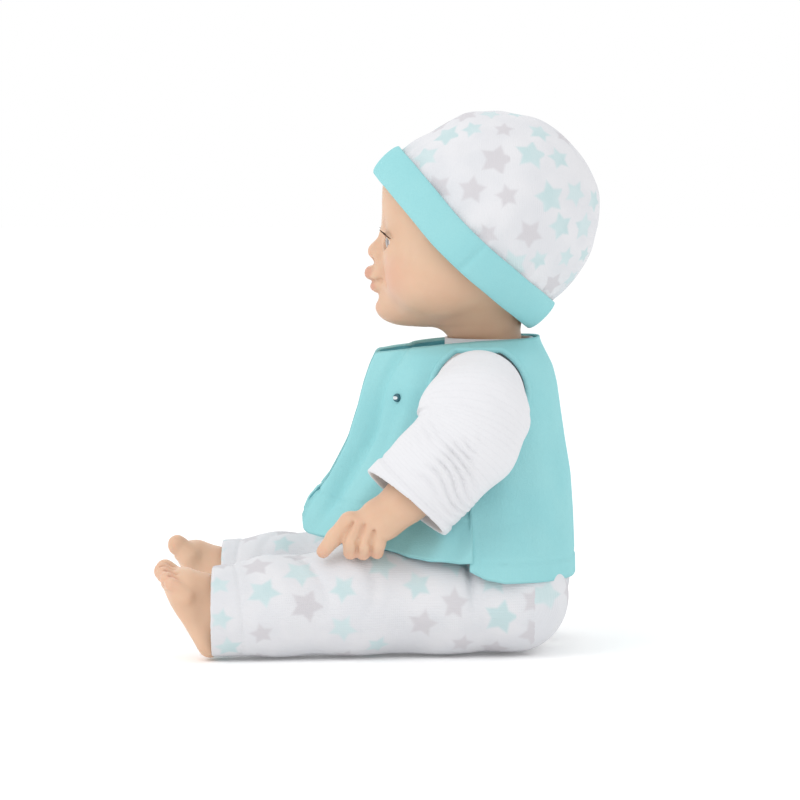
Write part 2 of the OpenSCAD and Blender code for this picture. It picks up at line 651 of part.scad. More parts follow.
eye_weight(-1);  // eye_weight_right
hat_crown();
hat_band();
arm(1);  // arm_left
shoulder_swivel(1);  // shoulder_swivel_left
sleeve(1);  // sleeve_left
arm(-1);  // arm_right
shoulder_swivel(-1);  // shoulder_swivel_right
sleeve(-1);  // sleeve_right
leg(1);  // leg_left
hip_swivel(1);  // hip_swivel_left
trouser_leg(1);  // trouser_leg_left
leg(-1);  // leg_right
hip_swivel(-1);  // hip_swivel_right
trouser_leg(-1);  // trouser_leg_right
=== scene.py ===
"""Interactive baby doll, seated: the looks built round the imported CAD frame.

Every place is in millimetres in the CAD's frame (+Z up, the doll faces -Y, its left side is +X),
and turned into metres when a mesh is made.
"""
import json
import math
from contextlib import contextmanager
import bmesh
import bpy
import numpy as np
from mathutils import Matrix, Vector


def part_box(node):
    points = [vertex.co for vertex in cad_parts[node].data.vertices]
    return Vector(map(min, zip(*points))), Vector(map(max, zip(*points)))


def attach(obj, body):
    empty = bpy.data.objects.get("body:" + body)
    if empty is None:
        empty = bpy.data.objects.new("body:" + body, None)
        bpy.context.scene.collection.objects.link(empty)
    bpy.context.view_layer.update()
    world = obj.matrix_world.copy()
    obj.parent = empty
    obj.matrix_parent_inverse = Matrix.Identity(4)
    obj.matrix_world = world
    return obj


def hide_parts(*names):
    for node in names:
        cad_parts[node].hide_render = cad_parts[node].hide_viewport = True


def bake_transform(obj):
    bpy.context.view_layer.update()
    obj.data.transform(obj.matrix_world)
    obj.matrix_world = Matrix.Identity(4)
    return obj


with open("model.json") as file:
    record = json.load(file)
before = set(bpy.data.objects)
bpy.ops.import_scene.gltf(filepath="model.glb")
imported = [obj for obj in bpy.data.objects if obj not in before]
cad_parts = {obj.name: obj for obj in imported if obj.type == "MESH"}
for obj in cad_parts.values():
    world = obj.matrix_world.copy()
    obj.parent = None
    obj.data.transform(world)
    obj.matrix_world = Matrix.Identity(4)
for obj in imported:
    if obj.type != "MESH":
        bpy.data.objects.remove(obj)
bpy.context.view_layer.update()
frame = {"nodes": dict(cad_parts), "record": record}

import openvdb as vdb
from mathutils import Vector

MM = 0.001


def corner(node):
    """Lowest and highest corner of a CAD node, in millimetres."""
    low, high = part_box(node)
    return np.array(low) * 1000, np.array(high) * 1000


# ---------------------------------------------------------------- places
NECK = np.array([0.0, -14.0, corner("head_swivel")[0][2] + 13])     # foot of the neck
HAT = NECK + [0, 0, 50]                                             # centre of the hat
SHOULDER_YZ = np.array([-19.0, 115.0])
EYE = NECK + [17.0, -38.0, 41.5]                                    # left eye's centre
EYE_R = 8.5
LEG_INNER_X = 18.6                                                  # a leg never reaches inside this

# Centre and radius of each ball along the left arm, sleeve, leg and trouser leg
ARM = [((50, -19, 115), 13.5), ((58, -19, 104.5), 13), ((65, -21, 95.5), 12.8), ((67, -36, 82.5), 11.8),
       ((67, -51, 71), 9.8), ((65.5, -61, 62.5), 9.4)]
SLEEVE = [((50, -19.5, 115), 20.2), ((59, -21, 108), 22), ((65, -24, 97), 21.5), ((67.5, -36, 85), 20.3),
          ((67.5, -50, 72), 20)]
SLEEVE_FLAT = 0.8                                                   # how much narrower a sleeve is in x
LEG = [((39, -5, 26), 20.6), ((42, -35, 24), 19.5), ((47, -75, 23.5), 18.5), ((53, -108, 21.5), 16.5),
       ((57.5, -131, 19.5), 12.5), ((59.5, -141.5, 11), 10.2)]
TROUSER_LEG = [((39, -5, 26), 24.4), ((42, -35, 24.4), 24.2), ((47, -75, 24), 23.6), ((53, -108, 22), 21.4),
               ((57.5, -137, 20.6), 20.4)]
CUFF_Y = -136.5                                                     # plane of the trousers' cuffs
FINGERS = [
    [((67.5, -76.5, 61.5), 4.0), ((67, -82.5, 54.5), 3.6), ((66, -87.5, 48.2), 3.0)],
    [((69, -72, 60.2), 4.2), ((70.5, -75, 53), 3.9), ((67.5, -75.5, 48), 3.3)],
    [((69.5, -67, 59.3), 4.1), ((71, -69.5, 52), 3.8), ((67.5, -70, 47.6), 3.2)],
    [((69, -62.5, 59), 3.8), ((70.3, -63.8, 52), 3.5), ((67, -64, 47.8), 2.9)],
    [((61.5, -60, 62), 4.6), ((59, -67, 56), 4.0), ((60.5, -73, 52), 3.3)],
]
TOES = [((53.5, -156.5, 38.5), 4.8), ((59, -157.5, 38.5), 4.0), ((63.5, -156.5, 37.5), 3.7),
        ((67.5, -155, 36), 3.4), ((70.8, -153, 34), 3.2)]
HEEL = (59.5, -141.5, 6)
# Vest and torso outlines: height, centre y, half width, half depth to the front and to the back
VEST = np.array([
    [30, -20, 69, 84, 45.5], [44, -20, 66, 82, 45], [60, -20, 57, 78.5, 44], [78, -20, 50.5, 67.5, 42.5],
    [93, -20, 46.5, 58.5, 40], [107, -20, 44.5, 53, 38], [118, -20, 43.5, 50, 36.5],
    [126, -20, 41, 47.5, 34.5], [132.5, -20, 37, 45, 31.2], [136.4, -20, 30, 42.5, 29.2],
    [138.6, -20, 25, 40.5, 28.6]])
VEST_SQUARE = 0.68                                                  # how square the vest is behind
SEAM_Y = -23.0                                                      # plane of its side seams
STRAP_Z = 134.2                                                     # foot of the strap over each shoulder
Z_UP = np.array([0, 0, 1.0])
SNAP_AT = (32.0, 113.0)                                             # a stud's distance from the middle, and height

TORSO = np.array([
    [2.8, -3, 14, 17, 15], [10, -4, 17.2, 23, 20], [27, -5, 17.2, 28, 22.5], [44, -8, 17.2, 34, 25],
    [53.4, -12, 17.2, 38, 28], [57.5, -14, 36, 40, 29.5], [65, -17, 40, 41, 32], [78, -19, 40, 41, 33],
    [93, -19, 38.5, 37, 31], [107, -18, 36, 31, 29], [118, -17, 34.5, 26, 26], [126, -16, 31, 23, 22],
    [131.5, -15, 25, 20, 19], [136, -14, 18.5, 18, 18]])


# ---------------------------------------------------------------- modelling tools
def smooth_min(a, b, soft):
    """The smaller of two distances, blended where they are within that much of each other."""
    h = np.clip(soft - np.abs(a - b), 0, None) / soft
    return np.minimum(a, b) - h * h * soft / 4


def egg(centre, radii):
    """Distance to an ellipsoid, near enough for modelling."""
    c, r = np.array(centre, float), np.ones(3) * radii

    def distance(x, y, z):
        px, py, pz = (x - c[0]) / r[0], (y - c[1]) / r[1], (z - c[2]) / r[2]
        k0 = np.sqrt(px * px + py * py + pz * pz)
        k1 = np.sqrt((px / r[0]) ** 2 + (py / r[1]) ** 2 + (pz / r[2]) ** 2) + 1e-6
        return k0 * (k0 - 1) / k1
    return distance, c - r, c + r


def rod(a, b, ra, rb):
    """Distance to a rod with round ends that tapers from radius ra to rb."""
    a, b = np.array(a, float), np.array(b, float)
    v = b - a

    def distance(x, y, z):
        h = np.clip(((x - a[0]) * v[0] + (y - a[1]) * v[1] + (z - a[2]) * v[2]) / (v @ v), 0, 1)
        dx, dy, dz = x - a[0] - h * v[0], y - a[1] - h * v[1], z - a[2] - h * v[2]
        return np.sqrt(dx ** 2 + dy ** 2 + dz ** 2) - (ra + (rb - ra) * h)
    r = max(ra, rb)
    return distance, np.minimum(a, b) - r, np.maximum(a, b) + r


class Clay:
    """A shape kept as a distance field, modelled with soft-edged adds and cuts.

    Mirrored clay is the same at -x.
    """

    def __init__(self, low, high, pitch, mirrored=False):
        self.low, self.pitch = np.array(low, float), pitch
        count = np.ceil((np.array(high) - self.low) / pitch).astype(int) + 1
        axes = [self.low[i] + pitch * np.arange(count[i]) for i in range(3)]
        if mirrored:
            axes[0] = np.abs(axes[0])
        self.field = np.full(count, 30.0, np.float32)
        self.x, self.y, self.z = [a.astype(np.float32).reshape([-1 if i == j else 1 for j in range(3)])
                                  for i, a in enumerate(axes)]

    def put(self, shape, soft=1.0, cut=False):
        distance, low, high = shape
        spans = []
        for axis, a, b in zip((self.x, self.y, self.z), low - soft - 3, high + soft + 3):
            hit = np.nonzero((axis.ravel() >= a) & (axis.ravel() <= b))[0]
            if not len(hit):
                return self
            spans.append(slice(hit[0], hit[-1] + 1))
        sx, sy, sz = spans
        d = distance(self.x[sx], self.y[:, sy], self.z[:, :, sz])
        old = self.field[sx, sy, sz]
        self.field[sx, sy, sz] = -smooth_min(-old, d, soft) if cut else smooth_min(old, d, soft)
        return self

    def cut(self, shape, soft=1.0):
        return self.put(shape, soft, True)

    def keep(self, field, soft=0.01):
        """Keeps only what is inside another field."""
        self.field = -smooth_min(-self.field, -field, soft)
        return self

    def chain(self, balls, soft, grow=0.0, cut=False):
        for (a, ra), (b, rb) in zip(balls, balls[1:]):
            self.put(rod(a, b, ra + grow, rb + grow), soft, cut)
        return self

    def surface(self):
        """Points and quads of the surface, faces outwards."""
        grid = vdb.FloatGrid(30.0)
        grid.copyFromArray(np.ascontiguousarray(self.field, dtype=np.float64))
        points, quads = grid.convertToQuads(0.0)
        points = self.low + np.asarray(points, float) * self.pitch
        quads = np.asarray(quads, int)
        a, b, c = (points[quads[:, i]] for i in range(3))
        if np.einsum("ij,ij->i", a, np.cross(b, c)).sum() < 0:
            quads = quads[:, ::-1]
        return points, quads


def make_mesh(name, points, faces, uv=None, smooth=True):
    """A new object from points in millimetres.

    uv, in metres, is one row per point, or one per face corner.
    """
    mesh = bpy.data.meshes.new(name)
    mesh.from_pydata((np.asarray(points) * MM).tolist(), [], [list(map(int, f)) for f in faces])
    if smooth:
        mesh.polygons.foreach_set("use_smooth", [True] * len(mesh.polygons))
    obj = bpy.data.objects.new(name, mesh)
    bpy.context.scene.collection.objects.link(obj)
    if uv is not None:
        layer = mesh.uv_layers.new(name="cloth")
        corners = np.empty(len(mesh.loops), int)
        mesh.loops.foreach_get("vertex_index", corners)
        uv = np.asarray(uv, float)
        layer.data.foreach_set("uv", (uv[corners] if len(uv) == len(points) else uv).ravel())
    return obj


@contextmanager
def editing(obj):
    """A bmesh of an object's mesh, written back at the end."""
    bm = bmesh.new()
    bm.from_mesh(obj.data)
    yield bm
    bm.to_mesh(obj.data)
    bm.free()


def mirrored(points, faces):
    """The same mesh on the other side, faces still outwards."""
    return points * [-1, 1, 1], faces[:, ::-1]


def face_normals_at_points(points, quads):
    """Unit normals at the points of a quad mesh."""
    a, b, c, d = (points[quads[:, i]] for i in range(4))
    n = np.cross(c - a, d - b)
    out = np.zeros_like(points)
    for i in range(4):
        np.add.at(out, quads[:, i], n)
    return out / (np.linalg.norm(out, axis=1, keepdims=True) + 1e-9)


def waves(p, seed, scale, octaves=3):
    """Smooth seeded noise between about -1 and 1 at points p, in millimetres, of that wavelength."""
    rng = np.random.default_rng(seed)
    total, size = np.zeros(len(p)), 0.0
    for k in range(octaves):
        for _ in range(5):
            direction = rng.normal(size=p.shape[1])
            direction /= np.linalg.norm(direction)
            phase = p @ direction * (2 * math.pi * 2 ** k / scale)
            total += 0.5 ** k * np.sin(phase + rng.uniform(0, 2 * math.pi))
        size += 0.5 ** k * 1.6
    return total / size


def ease(x, a, b):
    """0 below a, 1 above b, with a smooth step between."""
    t = np.clip((x - a) / (b - a), 0, 1)
    return t * t * (3 - 2 * t)


def rounded(path, times=4):
    """A polyline with its corners cut, again and again, until it is a curve."""
    path = np.array(path, float)
    for _ in range(times):
        a, b = path[:-1], path[1:]
        cut = np.stack([0.75 * a + 0.25 * b, 0.25 * a + 0.75 * b], 1).reshape(-1, 3)
        path = np.vstack([path[:1], cut, path[-1:]])
    return path


def along_path(points, path):
    """Distance along a polyline, angle round it and distance from it, for every point, in millimetres."""
    path = np.array(path, float)
    best = np.full(len(points), 1e9)
    along, angle = np.zeros(len(points)), np.zeros(len(points))
    start = 0.0
    for i, (a, b) in enumerate(zip(path, path[1:])):
        v = b - a
        length = np.linalg.norm(v)
        t = (points - a) @ v / length ** 2
        lo, hi = (-9.0 if i == 0 else 0.0), (9.0 if i == len(path) - 2 else 1.0)
        t = np.clip(t, lo, hi)
        off = points - a - t[:, None] * v
        dist = np.linalg.norm(off, axis=1)
        side = np.cross(v, [0, 0, 1.0])
        side = side / np.linalg.norm(side) if np.linalg.norm(side) > 1e-6 else np.array([1.0, 0, 0])
        up = np.cross(side, v / length)
        near = dist < best
        best[near] = dist[near]
        along[near] = start + t[near] * length
        angle[near] = np.arctan2(off[near] @ side, off[near] @ up)
        start += length
    return along, angle, best


def wrap_uv(quads, around, along):
    """One UV per face corner from a position round a tube (in turns) and along it, whole across the join."""
    u = around[quads]
    u = np.where(u < u.max(axis=1, keepdims=True) - 0.5, u + 1, u)
    return u, along[quads]


# ---------------------------------------------------------------- materials
class Shader:
    """A node material, with short calls for the nodes used here."""

    def __init__(self, name):
        self.material = bpy.data.materials.new(name)
        self.material.use_nodes = True
        self.tree = self.material.node_tree
        self.bsdf = self.tree.nodes["Principled BSDF"]

    def node(self, kind, inputs=(), **settings):
        n = self.tree.nodes.new(kind)
        for key, value in settings.items():
            setattr(n, key, value)
        for key, value in dict(inputs).items():
            self.feed(n.inputs[key], value)
        return n

    def feed(self, socket, value):
        if isinstance(value, bpy.types.NodeSocket):
            self.tree.links.new(value, socket)
        else:
            socket.default_value = value

    def math(self, operation, *values, clamp=False):
        n = self.node("ShaderNodeMath", operation=operation, use_clamp=clamp)
        for i, v in enumerate(values):
            self.feed(n.inputs[i], v)
        return n.outputs[0]

    def vector(self, operation, *values):
        n = self.node("ShaderNodeVectorMath", operation=operation)
        for i, v in enumerate(values):
            self.feed(n.inputs["Scale"] if operation == "SCALE" and i == 1 else n.inputs[i], v)
        return n.outputs["Value"] if operation in ("LENGTH", "DOT_PRODUCT") else n.outputs["Vector"]

    def mix(self, factor, a, b):
        n = self.node("ShaderNodeMix", data_type="RGBA")
        for socket, value in ((n.inputs[0], factor), (n.inputs[6], a), (n.inputs[7], b)):
            self.feed(socket, value)
        return n.outputs[2]

    def step(self, value, a, b, to_a=0.0, to_b=1.0):
        n = self.node("ShaderNodeMapRange", interpolation_type="SMOOTHSTEP")
        for i, v in enumerate((value, a, b, to_a, to_b)):
            self.feed(n.inputs[i], v)
        return n.outputs[0]

    def noise(self, vector, scale, detail=2.0, rough=0.5):
        settings = {"Vector": vector, "Scale": scale, "Detail": detail, "Roughness": rough}
        return self.node("ShaderNodeTexNoise", settings).outputs["Fac"]

    def place(self):
        return self.node("ShaderNodeTexCoord").outputs["Object"]

    def uv(self):
        return self.node("ShaderNodeUVMap", uv_map="cloth").outputs["UV"]

    def attribute(self, name):
        return self.node("ShaderNodeAttribute", attribute_name=name).outputs["Fac"]

    def bump(self, height, distance, strength=1.0, normal=None):
        n = self.node("ShaderNodeBump", {"Height": height, "Distance": distance, "Strength": strength})
        if normal is not None:
            self.feed(n.inputs["Normal"], normal)
        return n.outputs["Normal"]

    def finish(self, **inputs):
        for key, value in inputs.items():
            self.feed(self.bsdf.inputs[key.replace("_", " ")], value)
        return self.material


def rgb(r, g, b):
    """Linear colour from 0 to 255 sRGB."""
    linear = [c / 255 / 12.92 if c <= 10 else ((c / 255 + 0.055) / 1.055) ** 2.4 for c in (r, g, b)]
    return tuple(linear) + (1.0,)


def vinyl(name, light=rgb(216, 180, 152), deep=rgb(206, 164, 136), rosy=rgb(212, 150, 132)):
    """Soft rotocast vinyl, with a faint mottle, fine surface grain, sprayed blush and painted shade in its
    creases.
    """
    s = Shader(name)
    place = s.place()
    mottle = s.noise(place, 55.0, 4.0)
    base = s.mix(s.step(mottle, 0.3, 0.72), light, deep)
    base = s.mix(0.55, base, light)
    # Painted shade: a darker brown is mixed in where the crease attribute is set, in folds, hollows and the mouth
    # line
    base = s.mix(s.math("MULTIPLY", s.attribute("crease"), 0.55, clamp=True), base, rgb(186, 128, 102))
    base = s.mix(s.math("MULTIPLY", s.attribute("blush"), 0.5, clamp=True), base, rosy)
    base = s.mix(s.math("MULTIPLY", s.attribute("lips"), 0.45, clamp=True), base, rgb(196, 128, 116))
    grain = s.bump(s.noise(place, 1400.0, 2.0), 0.00006, 0.35)
    return s.finish(Base_Color=base, Roughness=s.step(mottle, 0.2, 0.8, 0.4, 0.52), Normal=grain,
                    Subsurface_Weight=0.12, Subsurface_Radius=(1.0, 0.35, 0.2), Subsurface_Scale=0.003,
                    Specular_IOR_Level=0.42)


def fleece(name, colour, shade):
    """Brushed fleece: short matted pile over soft tonal variation."""
    s = Shader(name)
    place = s.place()
    cloud = s.noise(place, 38.0, 3.0)
    pile = s.noise(place, 1500.0, 4.0, 0.65)
    tuft = s.noise(place, 320.0, 3.0, 0.6)
    base = s.mix(s.step(cloud, 0.3, 0.7, 0.0, 0.35), colour, shade)
    base = s.mix(s.step(pile, 0.3, 0.75, 0.25, 0.0), base, shade)
    normal = s.bump(tuft, 0.0004, 0.45)
    normal = s.bump(pile, 0.0003, 0.55, normal)
    return s.finish(Base_Color=base, Roughness=0.95, Normal=normal, Specular_IOR_Level=0.12,
                    Sheen_Weight=0.35, Sheen_Roughness=0.5, Sheen_Tint=colour)


def knit_normal(s, uv, wale, course, depth):
    """Bump of a jersey knit: V-shaped stitches in columns."""
    x = s.node("ShaderNodeSeparateXYZ", {"Vector": uv})
    column = s.math("FRACT", s.math("DIVIDE", x.outputs[0], wale))
    lean = s.math("ABSOLUTE", s.math("SUBTRACT", column, 0.5))
    row = s.math("ADD", s.math("DIVIDE", x.outputs[1], course), lean)
    stitch = s.math("ABSOLUTE", s.math("SUBTRACT", s.math("FRACT", row), 0.5))
    rib = s.math("SINE", s.math("MULTIPLY", column, math.pi))
    return s.bump(s.math("MULTIPLY", s.math("SUBTRACT", 1.0, stitch), rib), depth, 0.6)


STAR_BLUR = 0.0009                                                  # half the width of a star's soft edge


def star(s, uv, cell, big, small, seed, chance):
    """(mask, random tint) of five-pointed stars scattered on a staggered lattice, at most one to a cell.

    big and small are the range of their radii, and chance is the share of cells that hold one.
    """
    xy = s.node("ShaderNodeSeparateXYZ", {"Vector": s.vector("ADD", uv, (seed * 0.37, seed * 0.71, 0.0))})
    v = s.math("DIVIDE", xy.outputs[1], cell)
    row = s.math("FLOOR", v)
    u = s.math("ADD", s.math("DIVIDE", xy.outputs[0], cell), s.math("MULTIPLY", row, 0.5))
    column = s.math("FLOOR", u)
    here = s.node("ShaderNodeCombineXYZ", {"X": column, "Y": row, "Z": float(seed)}).outputs[0]
    dice = s.node("ShaderNodeTexWhiteNoise", {"Vector": here}, noise_dimensions="3D")
    roll = s.node("ShaderNodeSeparateXYZ", {"Vector": dice.outputs["Color"]})
    x, y = (s.math("SUBTRACT", s.math("SUBTRACT", place, whole), s.math("MULTIPLY_ADD", dice_roll, 0.26, 0.37))
            for place, whole, dice_roll in ((u, column, roll.outputs[0]), (v, row, roll.outputs[1])))
    away = s.math("SQRT", s.math("ADD", s.math("MULTIPLY", x, x), s.math("MULTIPLY", y, y)))
    radius = s.math("MULTIPLY", away, cell)
    turn = s.math("ADD", s.math("ARCTAN2", y, x), s.math("MULTIPLY", roll.outputs[2], 6.283))
    fifth = 2 * math.pi / 5
    arm = s.math("ABSOLUTE", s.math("SUBTRACT", s.math("FLOORED_MODULO", turn, fifth), fifth / 2))
    size = s.math("MULTIPLY_ADD", dice.outputs["Value"], big - small, small)
    # Distance from the straight edge between a tip and the notch beside it
    notch = 0.56
    slope = (notch * math.sin(math.pi / 5), 1 - notch * math.cos(math.pi / 5))
    n = math.hypot(*slope)
    from_tip = s.math("SUBTRACT", s.math("MULTIPLY", radius, s.math("COSINE", arm)), size)
    sideways = s.math("MULTIPLY", radius, s.math("SINE", arm))
    edge = s.math("ADD", s.math("MULTIPLY", from_tip, slope[0] / n), s.math("MULTIPLY", sideways, slope[1] / n))
    mask = s.step(edge, STAR_BLUR, -STAR_BLUR)
    printed = s.math("LESS_THAN", s.math("FRACT", s.math("MULTIPLY", roll.outputs[0], 7.3)), chance)
    return s.math("MULTIPLY", mask, printed), s.math("FRACT", s.math("MULTIPLY", roll.outputs[2], 5.7))


def star_print(name):
    """White jersey printed with pale aqua and grey stars."""
    s = Shader(name)
    uv = s.uv()
    cloud = s.noise(s.place(), 60.0, 2.0)
    base = s.mix(s.step(cloud, 0.3, 0.7), rgb(218, 218, 221), rgb(212, 213, 217))
    mask, tint = star(s, uv, cell=0.0172, big=0.0084, small=0.0050, seed=3, chance=0.86)
    aqua = s.mix(s.step(cloud, 0.35, 0.65), rgb(184, 208, 210), rgb(196, 214, 216))
    colour = s.mix(s.math("GREATER_THAN", tint, 0.55), aqua, rgb(200, 197, 201))
    base = s.mix(s.math("MULTIPLY", mask, 0.85), base, colour)
    normal = knit_normal(s, uv, 0.0011, 0.0009, 0.00012)
    normal = s.bump(s.noise(s.place(), 260.0, 3.0), 0.0003, 0.25, normal)
    return s.finish(Base_Color=base, Roughness=0.9, Normal=normal, Specular_IOR_Level=0.15,
                    Sheen_Weight=0.12, Sheen_Roughness=0.6)


def ribbed_knit(name, colour, pitch=0.0016):
    """White knit with fine ribs round the sleeve, greyed in the grooves between the ribs as painted shade."""
    s = Shader(name)
    uv = s.uv()
    xy = s.node("ShaderNodeSeparateXYZ", {"Vector": uv})
    wobble = s.math("MULTIPLY", s.math("SUBTRACT", s.noise(s.place(), 90.0, 2.0), 0.5), 0.0006)
    along = s.math("DIVIDE", s.math("ADD", xy.outputs[1], wobble), pitch)
    rib = s.math("ABSOLUTE", s.math("SUBTRACT", s.math("FRACT", along), 0.5))
    groove = s.step(rib, 0.36, 0.5)
    # Painted shade: the grooves between the ribs are greyed
    base = s.mix(s.math("MULTIPLY", groove, 0.07), colour, rgb(196, 198, 204))
    normal = s.bump(s.math("SUBTRACT", 1.0, groove), 0.0002, 0.3)
    normal = s.bump(s.noise(s.place(), 1200.0, 3.0), 0.00015, 0.5, normal)
    return s.finish(Base_Color=base, Roughness=0.92, Normal=normal, Specular_IOR_Level=0.15,
                    Sheen_Weight=0.15, Sheen_Roughness=0.6)


def moulded(name, colour, rough=0.45, metal=0.0, grain=900.0):
    """Moulded plastic or plain metal, with fine grain and a faint unevenness of tone."""
    s = Shader(name)
    place = s.place()
    dark = tuple(c * 0.82 for c in colour[:3]) + (1.0,)
    tone = s.noise(place, 120.0, 3.0)
    return s.finish(Base_Color=s.mix(s.step(tone, 0.3, 0.7, 0.0, 0.5), colour, dark),
                    Roughness=s.step(tone, 0.2, 0.8, rough - 0.06, rough + 0.08), Metallic=metal,
                    Normal=s.bump(s.noise(place, grain, 2.0), 0.00005, 0.4))


def eye_paint(name, centre):
    """Acrylic eye: white with a grey-brown iris and a dark pupil on the side that faces forward."""
    s = Shader(name)
    off = s.vector("SUBTRACT", s.place(), tuple(np.array(centre) * MM))
    aim = s.vector("NORMALIZE", off)
    facing = s.vector("DOT_PRODUCT", aim, (0.0, -1.0, 0.0))
    spread = s.math("ARCCOSINE", facing)
    xyz = s.node("ShaderNodeSeparateXYZ", {"Vector": aim})
    spoke = s.math("ARCTAN2", xyz.outputs[2], xyz.outputs[0])
    polar = s.node("ShaderNodeCombineXYZ", {"X": spoke, "Y": s.math("MULTIPLY", spread, 3.0)})
    ray = s.noise(polar.outputs[0], 14.0, 2.0)
    iris = s.mix(s.step(ray, 0.35, 0.65), rgb(112, 104, 104), rgb(158, 146, 140))
    iris = s.mix(s.step(spread, 0.44, 0.58), iris, rgb(74, 62, 60))
    base = s.mix(s.step(spread, 0.56, 0.61), iris, rgb(216, 206, 200))
    base = s.mix(s.step(spread, 0.2, 0.23), rgb(12, 12, 14), base)
    return s.finish(Base_Color=base, Roughness=0.08, Coat_Weight=0.6, Coat_Roughness=0.03)


SKIN = vinyl("skin_vinyl")
MINT = fleece("mint_fleece", rgb(152, 206, 209), rgb(134, 196, 202))
# A darker copy of the mint fleece for the vest's inside faces: painted shade
MINT_SHADED_INSIDE = fleece("mint_fleece_inside_shaded", rgb(112, 184, 194), rgb(94, 168, 180))
STARS = star_print("star_jersey")
KNIT = ribbed_knit("white_rib_knit", rgb(220, 220, 223))
WHITE_CLOTH = fleece("body_cloth", rgb(240, 232, 218), rgb(226, 214, 196))
LASH = moulded("lash_fibre", rgb(62, 42, 36), 0.5)


# ---------------------------------------------------------------- head
def sculpt_head():
    """The vinyl head: (points, quads) in millimetres, symmetric."""
    k = Clay([-48, -62, -6], [48, 46, 98], 0.8, mirrored=True)
    k.put(egg((0, -1.5, 50.5), (42.5, 42.5, 42.5)))
    k.put(egg((0, -21, 60), (33, 26.5, 24)), 14)
    k.put(egg((0, 6, 55), (37, 36, 33)), 10)
    k.put(egg((0, -17, 34), (38.5, 28.5, 27)), 12)
    k.put(egg((0, -22, 43), (33, 23.6, 20)), 8)
    k.put(egg((21, -26.5, 26), (18.5, 19.5, 16.5)), 9)          # cheeks
    k.put(egg((0, -30, 17), (18.5, 18, 14)), 9)                 # jaw
    k.put(egg((0, -41.5, 12), (9.5, 9.4, 7.2)), 6)              # chin
    k.put(rod((0, -1, -2), (0, -5, 16), 15.5, 22), 6)           # neck
    # Muzzle, nose and lips
    k.put(egg((0, -41.5, 27.5), (13.5, 11.2, 9.5)), 6)
    k.put(rod((0, -42.2, 49), (0, -46.6, 39.8), 3.2, 3.8), 5)
    k.put(egg((0, -49.4, 36.8), (4.9, 5.1, 4.3)), 3)
    k.put(egg((4.5, -47.6, 34.8), (2.9, 3.6, 2.6)), 2)
    k.cut(rod((2.3, -53.5, 32.0), (2.0, -49.5, 34.2), 0.9, 0.7), 0.8)
    k.cut(egg((0, -55.5, 31.2), (1.5, 3.0, 2.4)), 2.2)          # philtrum
    upper = [((0, -53.3, 26.6), 2.6), ((3.3, -52.8, 27.1), 2.8), ((6.3, -50.2, 25.8), 2.1),
             ((8.8, -46.8, 24.3), 1.1)]
    lower = [((0, -50.9, 20.8), 2.6), ((3.6, -50.2, 21.0), 2.6), ((6.6, -47.9, 22.2), 1.8)]
    k.chain(upper, 1.4).chain(lower, 1.4)
    mouth = [((0, -56.4, 24.0), 0.75), ((3.5, -55.2, 23.8), 0.7), ((6.4, -51.8, 23.9), 0.5),
             ((8.2, -49.4, 24.1), 0.3)]
    k.chain(mouth, 1.0, cut=True)
    k.cut(egg((9.8, -48.5, 24.0), (1.0, 1.6, 1.2)), 2.0)        # corners of the mouth
    k.cut(egg((0, -54.5, 15.9), (7.5, 4.0, 1.8)), 3.5)          # fold over the chin
    k.cut(rod((9.5, -50.5, 33), (14.5, -46.5, 24.5), 0.8, 0.6), 4)   # fold beside the nose
    # Eyes: shallow orbits, full lids and almond openings
    ex, ey, ez = EYE - NECK
    k.cut(egg((ex - 1, ey - 11.5, ez + 4.5), (10.5, 4.2, 4.2)), 5)
    k.put(egg((ex, ey, ez), 9.7), 4)
    crease = [((ex - 7.5, ey - 6.6, ez + 2.8), 0.35), ((ex - 2.5, ey - 8.9, ez + 5.3), 0.45),
              ((ex + 3.5, ey - 8.6, ez + 5.2), 0.45), ((ex + 8.2, ey - 5.6, ez + 2.4), 0.35)]
    k.chain(crease, 1.2, cut=True)
    half, rise, fall = 7.4, 3.0, 3.4
    dx = (k.x - ex) / half
    arch = 1 - dx * dx
    lid = np.maximum(k.z - (ez + 0.2 * dx + rise * arch), (ez - 0.6 + 0.2 * dx - fall * arch) - k.z)
    opening = np.maximum(lid, k.y - (ey - 1))
    inner = np.sqrt((k.x - ex) ** 2 + (k.y - ey) ** 2 + (k.z - ez) ** 2) - 8.95
    k.field = -smooth_min(-k.field, opening, 0.8)
    k.field = -smooth_min(-k.field, inner, 0.3)
    # Ears, under the hat
    k.put(egg((39.6, 1.5, 42), (2.6, 5.6, 8.6)), 2)
    k.cut(egg((42.6, 0.2, 42.5), (1.4, 3.2, 5.4)), 1.2)
    k.put(egg((41, -0.5, 37.5), (1.5, 1.6, 2)), 1)
    points, quads = k.surface()
    # Moulded hair: shallow locks that swirl from the crown
    rel = points - [0, 12, 84]
    turn = np.arctan2(rel[:, 0], rel[:, 1])
    far = np.linalg.norm(rel[:, :2], axis=1)
    lock = np.sin(9 * turn + far * 0.32 + 1.3 * waves(points, 5, 26)) * waves(points, 6, 18)
    area = ease(points[:, 2] + 0.55 * points[:, 1], 50, 62)
    points = points + face_normals_at_points(points, quads) * (0.45 * lock * area)[:, None]
    return points, quads


def near(points, centre, radii):
    """1 at the middle of an egg-shaped area, 0 at its edge, for points with x taken as |x|."""
    q = np.column_stack([np.abs(points[:, 0]), points[:, 1:]])
    return 1 - ease(np.linalg.norm((q - centre) / np.array(radii, float), axis=1), 0.25, 1)


def paint(obj, name, values):
    layer = obj.data.attributes.new(name, "FLOAT", "POINT")
    layer.data.foreach_set("value", np.ascontiguousarray(values, dtype=np.float32))


